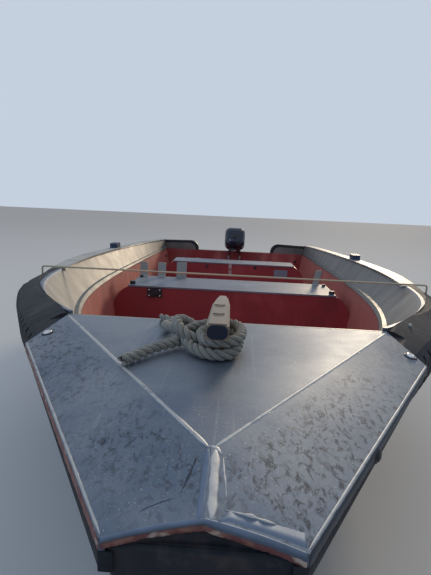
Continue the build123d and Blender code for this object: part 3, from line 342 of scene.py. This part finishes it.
def rope_fibre(name, colour, dark, lit):
    """Rope yarn: fine dark stripes along the yarns from the strand's own UVs, as painted shade in the grooves
    between yarns; painted shade on each strand's inner side where the strands meet; and weathering.
    """
    m = Shader(name)
    uv = m.add("ShaderNodeUVMap", uv_map="yarn").outputs["UV"]
    parts = m.add("ShaderNodeSeparateXYZ")
    m.link(uv, parts.inputs["Vector"])
    across = m.times(parts.outputs["X"], YARNS)
    along = m.times(parts.outputs["Y"], YARNS_PER_METRE)
    total = m.add("ShaderNodeMath", operation="ADD")
    m.link(across, total.inputs[0])
    m.link(along, total.inputs[1])
    yarns = m.wave(total.outputs["Value"], 1.0)
    # Painted shade: dark stripes in the grooves between yarns
    yarn_groove_shade = tuple(0.45 * a + 0.55 * b for a, b in zip(dark, colour))
    shade = m.mix(m.ramp(yarns, 0.0, 0.45), yarn_groove_shade, colour)
    weather = m.ramp(m.noise(60, 4.0, 0.6), 0.4, 0.7)
    shade = m.mix(m.times(weather, 0.5), shade, lit)
    # Painted shade: each strand darker on its inner side, where the strands meet
    quarter = m.add("ShaderNodeMath", operation="COSINE")
    m.link(m.times(parts.outputs["X"], 2 * math.pi), quarter.inputs[0])
    strand_gap_shade = m.ramp(quarter.outputs["Value"], 0.15, -0.45)
    shade = m.mix(m.times(strand_gap_shade, 0.85), shade, dark)
    fuzz = m.ramp(m.noise(900, 2.0, 0.6), 0.55, 0.7)
    shade = m.mix(m.times(fuzz, 0.3), shade, dark)
    m.colour(shade)
    m.roughness(m.noise(80, 3.0), 0.75, 0.95)
    m.bump(yarns, 0.25, 0.7)
    m.bump(m.noise(1500, 2.0), 0.15, 0.6)
    m.set(Specular_IOR_Level=0.2, Sheen_Weight=0.25, Sheen_Roughness=0.5)
    return m.material


# One material for each slot: its clean colour, then its dirt, wear or dark
MATERIALS = {
    "grey_plastic": plastic("grey_plastic", (0.215, 0.207, 0.190), (0.090, 0.087, 0.080), streaks=0.6),
    # red_plastic's aft colour is painted shade on its aft wall
    "red_plastic": plastic("red_plastic", (0.56, 0.185, 0.15), (0.34, 0.13, 0.115), streaks=0.4,
                           aft=(0.32, 0.040, 0.045)),
    "dark_red_plastic": plastic("dark_red_plastic", (0.36, 0.050, 0.058), (0.19, 0.040, 0.044),
                                streaks=0.3),
    "grey_trim": plastic("grey_trim", (0.13, 0.135, 0.125), (0.05, 0.05, 0.05), scratches=False),
    "pale_plastic": plastic("pale_plastic", (0.46, 0.46, 0.43), (0.20, 0.19, 0.17), streaks=0.5),
    "grey_label": plastic("grey_label", (0.26, 0.29, 0.36), (0.16, 0.17, 0.19), scratches=False),
    "black_plastic": plastic("black_plastic", (0.018, 0.020, 0.026), (0.06, 0.06, 0.065),
                             scratches=False),
    "navy_plastic": plastic("navy_plastic", (0.030, 0.050, 0.11), (0.08, 0.08, 0.09), scratches=False),
    "navy_rubber": rubber("navy_rubber", (0.012, 0.018, 0.035), (0.05, 0.05, 0.06)),
    "beige_plastic": plastic("beige_plastic", (0.33, 0.255, 0.185), (0.14, 0.11, 0.085),
                             rough=(0.35, 0.55)),
    "black_rubber": rubber("black_rubber", (0.011, 0.014, 0.021), (0.13, 0.11, 0.10), share=(0.55, 0.66),
                           lines=170, scuffs=0.16, gloss=0.22),
    "worn_aluminium": worn_sheet(),
    "steel": metal("steel", (0.52, 0.53, 0.54), (0.25, 0.24, 0.23)),
    "cast_iron": metal("cast_iron", (0.12, 0.12, 0.125), (0.05, 0.05, 0.05), rough=(0.5, 0.7)),
    "dark_grey_metal": paint("dark_grey_metal", (0.024, 0.027, 0.034), gloss=0.35),
    "navy_metal": paint("navy_metal", (0.012, 0.018, 0.036), gloss=0.35),
    "navy_gloss": paint("navy_gloss", (0.014, 0.026, 0.052), rough=(0.26, 0.42), coat=0.2, gloss=0.3),
    "yellow_line": rubber("yellow_line", (0.66, 0.58, 0.40), (0.42, 0.37, 0.27)),
    "rope": rope_fibre("rope", (0.36, 0.345, 0.30), (0.030, 0.031, 0.034), (0.50, 0.48, 0.43)),
}

# Looks that single pieces have in place of their slot's own
LOOKS = {
    **MATERIALS,
    "seat_top": plastic("seat_top", (0.205, 0.225, 0.275), (0.12, 0.13, 0.155), streaks=0.3),
    # Blue-grey sheet: painted sky reflection and shade on sheet that turns down or away from the light
    "sheet_painted_sky_shade": metal("sheet_painted_sky_shade", (0.15, 0.195, 0.27), (0.085, 0.11, 0.155),
                               rough=(0.5, 0.7), metallic=0.7),
    # Near-black: painted shade in the cleat's slot recesses
    "slot_painted_shade": rubber("slot_painted_shade", (0.005, 0.005, 0.006), (0.016, 0.016, 0.017), gloss=0.1),
    "torn_edge": torn_edge(),
    "sheet_painted_highlight": sheet_painted_highlight(),
    # Dark blue-grey: painted shade on the port flange, and the plate's dark scar lines
    "dark_scar_and_painted_shade": metal("dark_scar_and_painted_shade", (0.035, 0.045, 0.065), (0.018, 0.021, 0.03), rough=(0.45, 0.65),
                       metallic=0.6),
}
SLOT_OF = {entry["node"]: entry["material_slot"] for entry in frame["record"]["subparts"]}
OWN_LOOK = {"thwart_forward_top": "seat_top", "locker_lid": "seat_top"}
for node, obj in NODES.items():
    obj.data.materials.clear()
    obj.data.materials.append(LOOKS[OWN_LOOK.get(node, SLOT_OF[node])])


def finish_piece(obj, slot, body, look=None):
    obj.data.materials.clear()
    obj.data.materials.append(LOOKS[look or slot])
    bpy.context.scene.collection.objects.link(obj)
    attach(obj, body)
    return obj


def mesh_piece(name, mesh_bm, slot, body, smooth=True, look=None):
    mesh = bpy.data.meshes.new(name)
    mesh_bm.to_mesh(mesh)
    mesh_bm.free()
    for polygon in mesh.polygons:
        polygon.use_smooth = smooth
    return finish_piece(bpy.data.objects.new(name, mesh), slot, body, look)


# Rope: the points along it stand this many metres apart, and its ends fray over the last 8 mm
ROPE_STEP = 0.0022
FRAY = 0.008


def route_line(points):
    """Points along the smooth line of a route given in x, s, z millimetres."""
    curve = bpy.data.curves.new("route", "CURVE")
    curve.dimensions = "3D"
    curve.resolution_u = 12
    spline = curve.splines.new("NURBS")
    spline.points.add(len(points) - 1)
    for knot, point in zip(spline.points, points):
        knot.co = (*at(*point), 1.0)
    spline.order_u = 3
    spline.use_endpoint_u = True
    holder = bpy.data.objects.new("route", curve)
    mesh = bpy.data.meshes.new_from_object(holder)
    line = [v.co.copy() for v in mesh.vertices]
    bpy.data.objects.remove(holder)
    bpy.data.meshes.remove(mesh)
    if (line[0] - at(*points[0])).length > (line[-1] - at(*points[0])).length:
        line.reverse()
    return line


def evenly(line, step):
    """The same line with a point every step metres."""
    lengths = [0.0]
    for a, b in zip(line, line[1:]):
        lengths.append(lengths[-1] + (b - a).length)
    count = max(4, round(lengths[-1] / step))
    result = []
    index = 0
    for i in range(count + 1):
        target = lengths[-1] * i / count
        while index < len(line) - 2 and lengths[index + 1] < target:
            index += 1
        span = lengths[index + 1] - lengths[index] or 1e-9
        result.append(line[index].lerp(line[index + 1], (target - lengths[index]) / span))
    return result, lengths[-1]


def frames_along(line):
    """A sideways and an upward direction at each point, carried along without twist."""
    sideways = []
    tangents = []
    for i in range(len(line)):
        a = line[max(0, i - 1)]
        b = line[min(len(line) - 1, i + 1)]
        tangents.append((b - a).normalized())
    side = tangents[0].cross(Vector((0, 0, 1)))
    side = side.normalized() if side.length > 1e-3 else Vector((1, 0, 0))
    for i, tangent in enumerate(tangents):
        if i:
            side = tangents[i - 1].rotation_difference(tangent) @ side
        side = (side - tangent * side.dot(tangent)).normalized()
        sideways.append((side, tangent.cross(side)))
    return tangents, sideways


def rope_strands(name, route, start_turn=0.0, fray=False):
    """Three laid strands round a route, as one mesh. Returns the piece, its line and its length."""
    line, length = evenly(route_line(route), ROPE_STEP)
    tangents, sideways = frames_along(line)
    bm = bmesh.new()
    uv = bm.loops.layers.uv.new("yarn")
    ring = 10
    for strand in range(3):
        rows = []
        for i, point in enumerate(line):
            run = length * i / (len(line) - 1)
            angle = start_turn + 2 * math.pi * (run / LAY + strand / 3)
            side, up = sideways[i]
            spread = 1.0
            if fray:
                spread += 0.25 * max(0.0, 1 - (length - run) / FRAY)
            centre = point + (side * math.cos(angle) + up * math.sin(angle)) * STRAND * STRANDS_OUT * spread
            slant = 2 * math.pi * STRAND * STRANDS_OUT / LAY
            along = (tangents[i] + (up * math.cos(angle) - side * math.sin(angle)) * slant).normalized()
            first = along.cross(up if abs(along.dot(up)) < 0.9 else side).normalized()
            second = along.cross(first)
            out = (centre - point).normalized()
            phase = math.atan2(out.dot(second), out.dot(first))
            row = []
            for k in range(ring):
                a = phase + 2 * math.pi * k / ring
                reach = (first * math.cos(a) + second * math.sin(a)) * STRAND * 1.03
                row.append(bm.verts.new(centre + reach))
            rows.append((row, run))
        for (low, run_a), (high, run_b) in zip(rows, rows[1:]):
            for k in range(ring):
                face = bm.faces.new((low[k], low[(k + 1) % ring], high[(k + 1) % ring], high[k]))
                corners = ((k, run_a), (k + 1, run_a), (k + 1, run_b), (k, run_b))
                for loop, (u, v) in zip(face.loops, corners):
                    loop[uv].uv = (u / ring, v)
        bm.faces.new(list(reversed(rows[0][0])))
        bm.faces.new(rows[-1][0])
    return mesh_piece(name, bm, "rope", "boat"), line, length


# Rope ends and turns, with the solids' own points. REST is the height of rope that lies on the plate
REST = 678.3
KNOT_WEST = -64.142
TAIL = [(KNOT_WEST, 337.858, REST + 3), (-93.142, 308.858, REST + 3), (-110, 280, REST), (-126, 258, REST)]
tail, tail_line, tail_length = rope_strands("rope_tail", TAIL, fray=True)
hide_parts("mooring_rope_tail")

LOOP = [(KNOT_WEST, 366.142, REST + 10), (-88.142, 390.142, REST + 10), (-98, 416, REST + 4),
        (-84, 440, REST), (-92, 462, REST), (-112, 468, REST)]
loop, loop_line, loop_length = rope_strands("rope_loop", LOOP, fray=True)
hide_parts("mooring_rope_loop")

# Two turns round the cleat's stem, and the crossing that the ends leave from
TURNS = [(-58, 344, 686), (-50, 328, 684), (-36, 306, 680), (-10, 294, 678.5), (16, 300, 679.5),
         (24, 336, 684), (22, 368, 684.5), (12, 392, 685), (-8, 396, 686), (-26, 386, 688), (-33, 362, 690),
         (-32, 336, 692), (-22, 308, 693.5), (2, 301, 695), (23, 312, 697), (27, 340, 698), (27, 368, 697),
         (18, 396, 696), (-6, 402, 695), (-32, 392, 694), (-50, 374, 692), (-66, 358, 688)]
turns = rope_strands("rope_turns", TURNS)[0]
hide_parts("mooring_rope_turns")
CROSSING = [(-34, 380, 683), (-46, 392, 691), (-62, 392, 700), (-72, 376, 704), (-70, 354, 703),
            (-58, 336, 699), (-46, 328, 692), (-38, 336, 684)]
rope_strands("rope_crossing", CROSSING, start_turn=1.0)


# Small forms built from rings of points
def shell(name, rings, slot, body="boat", look=None, smooth=True):
    """A closed mesh through rings of equally many points, its two ends capped."""
    bm = bmesh.new()
    rows = [[bm.verts.new(point) for point in ring] for ring in rings]
    count = len(rows[0])
    for low, high in zip(rows, rows[1:]):
        for k in range(count):
            bm.faces.new((low[k], low[(k + 1) % count], high[(k + 1) % count], high[k]))
    bm.faces.new(list(reversed(rows[0])))
    bm.faces.new(rows[-1])
    bmesh.ops.recalc_face_normals(bm, faces=bm.faces)
    return mesh_piece(name, bm, slot, body, smooth, look)


def turned(name, profile, place, axis, slot, body="boat"):
    """A body of revolution: (radius, height) pairs in millimetres up from a place along an axis."""
    segments = 28
    spin = Vector((0, 0, 1)).rotation_difference(Vector(axis).normalized())
    rings = []
    for radius, height in profile:
        ring = []
        for k in range(segments):
            angle = 2 * math.pi * k / segments
            local = Vector((radius * math.cos(angle), radius * math.sin(angle), height)) / 1000
            ring.append(Vector(place) + spin @ local)
        rings.append(ring)
    return shell(name, rings, slot, body)


def screw_head(name, place, axis, radius):
    """A low domed head."""
    profile = [(radius * 0.9, -1.0), (radius, 0.1), (radius, 0.5), (radius * 0.82, 1.1), (radius * 0.45, 1.5),
               (radius * 0.3, 1.5), (radius * 0.22, 0.9), (0.05, 0.8)]
    turned(name, profile, place, axis, "steel")


def plate_z(x, s):
    """Height of the foredeck plate's top."""
    fall = WING_SLOPE * (WING_ACROSS * abs(x) - WING_ALONG * (s - APEX))
    return PANEL_HEIGHT - max(0.0, fall)


def front_edge(x):
    """How far aft the plate's bowed front edge lies at x."""
    return FRONT_BOW * (1 - (x / FRONT_HALF) ** 2)


# How far a bead's foot reaches into the plate
BEAD_SINK = 0.8


def bead(name, points, width, height, look, wobble=0.0):
    """A low rounded ridge that lies on the foredeck plate along a line of (x, s) points."""
    path = []
    for (xa, sa), (xb, sb) in zip(points, points[1:]):
        steps = max(2, int(math.hypot(xb - xa, sb - sa) / 4))
        path += [(xa + (xb - xa) * i / steps, sa + (sb - sa) * i / steps) for i in range(steps)]
    path.append(points[-1])
    rings = []
    for i, (x, s) in enumerate(path):
        ahead = path[min(i + 1, len(path) - 1)]
        behind = path[max(i - 1, 0)]
        along = Vector((ahead[0] - behind[0], ahead[1] - behind[1])).normalized()
        across = Vector((along.y, -along.x))
        taper = min(1.0, 0.25 + i / 4, 0.25 + (len(path) - 1 - i) / 4)
        swell = (1 + wobble * rng.uniform(-1, 1)) * taper
        ring = []
        for k in range(-3, 4):
            u = k / 3
            px, ps = x + across.x * u * width / 2 * swell, s + across.y * u * width / 2 * swell
            ring.append(at(px, ps, plate_z(px, ps) + 0.05 + height * swell * (1 - u * u)))
        for u in (1, -1):
            px, ps = x + across.x * u * width / 2 * swell, s + across.y * u * width / 2 * swell
            ring.append(at(px, ps, plate_z(px, ps) - BEAD_SINK))
        rings.append(ring)
    return shell(name, rings, "worn_aluminium", look=look)


# Foredeck plate: folds, rivets and its torn front edge
for side, label in ((-1, "starboard"), (1, "port")):
    # The fold beads are pale: a painted highlight along each fold
    bead(f"panel_fold_{label}", [(side * 287, 489), (side * 144, 285), (side * 2, 84)], 4.6, 0.7,
         "sheet_painted_highlight", wobble=0.12)
    bead(f"wing_fold_{label}", [(side * 74, 3), (side * 192, 190), (side * 312, 380)], 2.4, 0.35,
         "sheet_painted_highlight", wobble=0.15)

# Each row is a name, its line in x and s, its width and height, its look and how uneven it is
BEADS = [
    ("nose_fold_starboard", [(-3, 82), (-3, 50), (-4, 9)], 6, 0.5, "sheet_painted_sky_shade", 0.1),
    ("nose_fold_port", [(4, 83), (4.5, 50), (5, 9)], 8, 0.5, "sheet_painted_highlight", 0.12),
    ("apex_weld", [(-3, 87), (5, 84), (10, 78)], 6, 0.9, "sheet_painted_highlight", 0.25),
    ("nose_scar_starboard", [(-12, 76), (-13, 66), (-15.5, 54), (-18, 44), (-20, 34)], 1.8, 0.2,
     "dark_scar_and_painted_shade", 0.5),
    ("front_scar_starboard", [(-24, 30), (-34, 27), (-44, 23), (-50, 19)], 1.4, 0.2, "dark_scar_and_painted_shade", 0.5),
    ("nose_scar_port", [(11, 74), (12, 60), (14, 44), (15, 30)], 1.6, 0.25, "sheet_painted_highlight", 0.5),
    ("torn_sliver", [(14, 20), (24, 19.4), (34, 19.6), (44, 18.4), (55, 17.4)], 3.0, 1.5,
     "sheet_painted_highlight", 0.45),
    # The pale bead along the panel's back edge is a painted highlight
    ("panel_back_highlight", [(-284, 490.8), (0, 490.8), (284, 490.8)], 1.6, 0.25, "sheet_painted_highlight", 0.0),
]
for name, points, width, height, look, wobble in BEADS:
    bead(name, points, width, height, look, wobble)

for label, x, s in (("starboard", -291, 411), ("port", 297, 404)):
    slope = Vector((math.copysign(0.19, x), -0.13, 0.97))
    place = at(x, s, plate_z(x, s))
    # Painted shade: the black ring round each wing rivet stands for the shadow gap under its head
    shade_ring = [(10.0, -0.8), (10.4, 0.2), (10.2, 0.9), (8.8, 1.3), (8.0, 1.2), (7.6, 0.9), (0.05, 0.9)]
    turned(f"wing_shade_ring_{label}", shade_ring, place, slope, "black_plastic")
    rivet = [(7.0, 0.0), (7.2, 1.2), (6.9, 2.4), (5.6, 3.4), (3.6, 4.0), (2.4, 3.9), (2.0, 3.3), (0.05, 3.2)]
    turned(f"wing_rivet_{label}", rivet, place, slope, "steel")
flange_normal = Vector((FLANGE_OUT_X, -FLANGE_OUT_S, 0.0))
flange_place = at(168, 149, PAD_TOP)
# Painted shade: the ring and domed nut on the port flange are black for the shade they lie in
turned("flange_shade_ring_port", [(8.6, -0.8), (8.8, 0.2), (8.4, 1.2), (7.0, 1.4), (0.05, 1.4)], flange_place,
       flange_normal, "black_plastic")
turned("flange_rivet_port", [(6.0, 0.5), (6.2, 2.0), (5.4, 3.2), (3.0, 4.0), (0.05, 4.1)], flange_place,
       flange_normal, "black_plastic")


def flange_skin(side, label, slot, look, upper, lower, out=0.45):
    """Thin skin on a side flange's outer face, from upper to lower millimetres below its fold. Below the
    starboard fold it carries red-brown paint remains; the other skins are painted shade.
    """
    rings = []
    for i in range(121):
        t = i / 120
        x, s = 74.5 + (313.5 - 74.5) * t, 1 + 378 * t
        for (sa, za), (sb, zb) in zip(FLANGE_FOOT, FLANGE_FOOT[1:]):
            if sa <= s <= sb:
                low = za + (zb - za) * (s - sa) / (sb - sa)
        top = plate_z(x, s) - upper
        low = max(low, plate_z(x, s) - lower + rng.uniform(-0.8, 0.8))
        low = min(top - 0.6, low)
        ring = []
        for offset, z in ((out, top - 0.5), (out, low + 0.3), (-0.4, low), (-0.4, top)):
            ring.append(at(side * (x + FLANGE_OUT_X * offset), s - FLANGE_OUT_S * offset, z))
        rings.append(ring)
    shell(f"flange_skin_{label}", rings, slot, look=look)


flange_skin(-1, "starboard", "dark_red_plastic", "torn_edge", 1.6, 12)
# Painted shade: the port flange is coated dark blue-grey for its shade and the dark ground it reflects
flange_skin(1, "port", "worn_aluminium", "dark_scar_and_painted_shade", 1.6, 14)
# Painted shade: the flanges' lower parts are coated black for the shade under the plate
for side, label in ((-1, "painted_shade_starboard"), (1, "painted_shade_port")):
    flange_skin(side, label, "black_rubber", "black_rubber", 12, 40, out=0.3)


def front_ribbon(name, depth_of, front, back, rise, slot, look):
    """Upright ribbon along the plate's bowed front edge, its depth given for each x."""
    rings = []
    count = int(2 * FRONT_REACH / 1.5)
    lower = 0.0
    for i in range(count + 1):
        x = -FRONT_REACH + 2 * FRONT_REACH * i / count
        edge = front_edge(x)
        top = plate_z(x, edge) + rise
        lower = 0.6 * lower + 0.4 * rng.uniform(-1, 1)
        drop, ragged = depth_of(x)
        foot = top - drop - ragged * lower
        curl = 0.35 * math.sin(x / 6.5)
        rings.append([at(x, edge - front + 0.5, top), at(x, edge - front + curl, (top + foot) / 2),
                      at(x, edge - front + 0.8 * lower, foot), at(x, edge + back, foot + 0.3),
                      at(x, edge + back, top)])
    shell(name, rings, slot, look=look)


def strip_depth(x):
    """Depth and raggedness of the turned-down strip, larger to port."""
    share = min(1.0, max(0.0, (x + 2) / 14))
    return 4.0 + 2.0 * share, 0.8 + 0.9 * share


def lip_depth(x):
    return plate_z(x, 4) - PAD_TOP, 0.0


def torn_depth(x):
    return strip_depth(x)[0] + 2.2, 1.8


# The turned-down strip is blue-grey: painted sky reflection and shade
front_ribbon("front_strip", strip_depth, 1.6, 0.8, 0.1, "worn_aluminium", "sheet_painted_sky_shade")
front_ribbon("pad_lip", lip_depth, -1.0, 3.0, -3.5, "black_rubber", "black_rubber")
front_ribbon("front_edge_torn", torn_depth, 0.9, 1.0, -3.0, "dark_red_plastic", "torn_edge")

# Turned-down band behind the front edge on the port side, blue-grey as painted sky reflection and shade
band = []
for i in range(43):
    x = 10 + 63.5 * i / 42
    edge = front_edge(x) - 0.6
    back = edge + (20 - 0.05 * x - edge) * min(1.0, i / 5 + 0.1) + rng.uniform(-0.3, 0.3)
    middle = (edge + back) / 2
    band.append([at(x, edge, plate_z(x, edge) - 0.4), at(x, middle, plate_z(x, middle) + 0.35),
                 at(x, back, plate_z(x, back) + 0.5), at(x, back, plate_z(x, back) - 0.8),
                 at(x, edge + 0.6, plate_z(x, edge) - 1.2)])
shell("turned_down_band", band, "worn_aluminium", look="sheet_painted_sky_shade")

# Painted shade: black caps on the flanges' front ends, for the shade below the plate's corners
END_SECTION = [(64.0, -0.4), (74.6, -0.4), (75.2, 0.6), (74.9, 1.0), (64.0, 1.0)]
for side, label in ((-1, "starboard"), (1, "port")):
    rings = [[at(side * x, s, z) for x, s in END_SECTION] for z in (617.5, 622, 628, PAD_TOP)]
    shell(f"flange_end_shade_{label}", rings, "black_rubber")


# Cleat: the two curved slots in its top, drawn as near-black strips that are painted shade of their recesses,
# and the lip round each
def cleat_slot(name, middle_x, middle_s, half, reach, lift, slot, look):
    """A curved strip on the cleat's top, reach wide at its middle and lift above the top."""
    rings = []
    for i in range(13):
        u = -1 + i / 6
        s = middle_s - 4.0 + 6.0 * u * u
        x = middle_x + half * u
        thin = reach * (1 - 0.75 * u * u) + 0.2
        rings.append([at(x, s - thin, CLEAT_TOP + lift), at(x, s + thin, CLEAT_TOP + lift),
                      at(x, s + thin, CLEAT_TOP - 1), at(x, s - thin, CLEAT_TOP - 1)])
    shell(name, rings, slot, look=look, smooth=False)


for index, (x, s) in enumerate(((-6.4, 351), (-5.8, 299)), 1):
    cleat_slot(f"cleat_slot_{index}", x, s, 7.6, 4.2, 0.25, "black_plastic", "slot_painted_shade")
    cleat_slot(f"cleat_lip_{index}", x, s - 6.4, 8.0, 1.5, 0.8, "beige_plastic", "beige_plastic")

# Catch plate screws and plain fixings of the thwarts
catch_low, catch_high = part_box("catch_plate")
for ix, x in enumerate((catch_low[0] + 0.011, catch_high[0] - 0.011)):
    for iz, z in enumerate((catch_low[2] + 0.009, catch_high[2] - 0.009)):
        screw_head(f"catch_screw_{ix}{iz}", (x, catch_low[1], z), (0, -1, 0), 4.5)
blank_low, blank_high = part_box("blank_plate")
for ix, x in enumerate((blank_low[0] + 0.010, blank_high[0] - 0.010)):
    screw_head(f"blank_screw_{ix}", (x, blank_low[1], (blank_low[2] + blank_high[2]) / 2), (0, -1, 0), 3.0)

knob = [(10.5, -1.0), (11.0, 1.0), (10.6, 6.0), (9.0, 9.5), (6.5, 11.0), (5.5, 10.2), (0.05, 10.0)]
for label, x, z in (("starboard", -204, 404), ("port", 170, 411)):
    turned(f"locker_knob_{label}", knob, at(x, 3060, z), (0, -1, 0), "black_plastic")
bolt = [(12.0, -2.0), (12.4, 0.8), (11.6, 2.6), (9.0, 3.4), (8.2, 7.0), (6.4, 8.2), (0.05, 8.4)]
turned("side_bolt_starboard", bolt, at(-651, 3836, 371), (0.98, -0.05, 0.16), "black_plastic")
turned("side_bolt_port", bolt, at(590, 3932, 362), (0, -1, 0), "black_plastic")

# Cowling: a plain disc and a plug
cowl_out = Vector((0.0, -0.927, 0.375))
turned("cowling_disc", [(9.5, -0.8), (9.8, 0.4), (9.2, 1.2), (7.6, 1.4), (0.05, 1.4)], at(-45, 3792, 555),
       cowl_out, "grey_label", body="motor")
turned("cowling_plug", [(5.0, -0.8), (5.2, 0.6), (4.2, 1.6), (0.05, 1.8)], at(-68, 3792, 535), cowl_out,
       "beige_plastic", body="motor")

# Gunwale's small stub on the port bow
turned("gunwale_stub", [(3.4, -6), (3.6, 1), (3.4, 4), (2.2, 5.4), (0.05, 5.6)], at(361, 577, 661),
       (0.5, -0.3, 0.8), "pale_plastic")


# Studio
def stage_plane():
    """A plain pale floor, far larger than the boat."""
    bm = bmesh.new()
    half = 30
    corners = ((-half, -half), (half, -half), (half, half), (-half, half))
    bm.faces.new([bm.verts.new((x, y, 0)) for x, y in corners])
    mesh = bpy.data.meshes.new("floor")
    bm.to_mesh(mesh)
    bm.free()
    floor = bpy.data.objects.new("floor", mesh)
    bpy.context.scene.collection.objects.link(floor)
    m = Shader("floor")
    m.colour((0.84, 0.835, 0.82))
    m.set(Roughness=0.9, Specular_IOR_Level=0.1)
    floor.data.materials.append(m.material)


stage_plane()

# World: a dim blue fill, and a pale background for what the camera, gloss and glass see
world = bpy.data.worlds.new("world")
bpy.context.scene.world = world
world.use_nodes = True
tree = world.node_tree
background = tree.nodes["Background"]
background.inputs["Color"].default_value = (0.70, 0.82, 1.0, 1.0)
background.inputs["Strength"].default_value = 0.30
seen = tree.nodes.new("ShaderNodeBackground")
seen.inputs["Color"].default_value = (0.56, 0.63, 0.73, 1.0)
seen.inputs["Strength"].default_value = 1.0
light_path = tree.nodes.new("ShaderNodeLightPath")
seen_by = light_path.outputs["Is Camera Ray"]
for ray in ("Is Transmission Ray", "Is Glossy Ray"):
    either = tree.nodes.new("ShaderNodeMath")
    either.operation = "MAXIMUM"
    tree.links.new(seen_by, either.inputs[0])
    tree.links.new(light_path.outputs[ray], either.inputs[1])
    seen_by = either.outputs["Value"]
choice = tree.nodes.new("ShaderNodeMixShader")
tree.links.new(seen_by, choice.inputs["Fac"])
tree.links.new(background.outputs["Background"], choice.inputs[1])
tree.links.new(seen.outputs["Background"], choice.inputs[2])
tree.links.new(choice.outputs["Shader"], tree.nodes["World Output"].inputs["Surface"])


def area(name, place, target, size, power, colour):
    """A soft lamp that faces its target."""
    data = bpy.data.lights.new(name, "AREA")
    data.shape = "RECTANGLE"
    data.size, data.size_y = size
    data.energy = power
    data.color = colour
    lamp = bpy.data.objects.new(name, data)
    lamp.location = place
    lamp.rotation_euler = (Vector(target) - Vector(place)).to_track_quat("-Z", "Y").to_euler()
    bpy.context.scene.collection.objects.link(lamp)


area("sky_left", (-6.0, -6.2, 5.6), (0, -1.2, 0.5), (6.0, 5.0), 95, (0.32, 0.58, 1.0))
area("top", (0.0, 0.5, 7.5), (0, 0.2, 0.3), (10.0, 12.0), 105, (0.94, 0.97, 1.0))

# Low warm light from beyond the stern, a little to port
low_sun = bpy.data.lights.new("low_sun", "SUN")
low_sun.energy = 1.35
low_sun.angle = math.radians(9)
low_sun.color = (1.0, 0.80, 0.56)
low_sun_lamp = bpy.data.objects.new("low_sun", low_sun)
low_sun_lamp.rotation_euler = Vector((0.29, 0.93, 0.24)).to_track_quat("Z", "Y").to_euler()
bpy.context.scene.collection.objects.link(low_sun_lamp)

bpy.context.scene.view_settings.view_transform = "Standard"
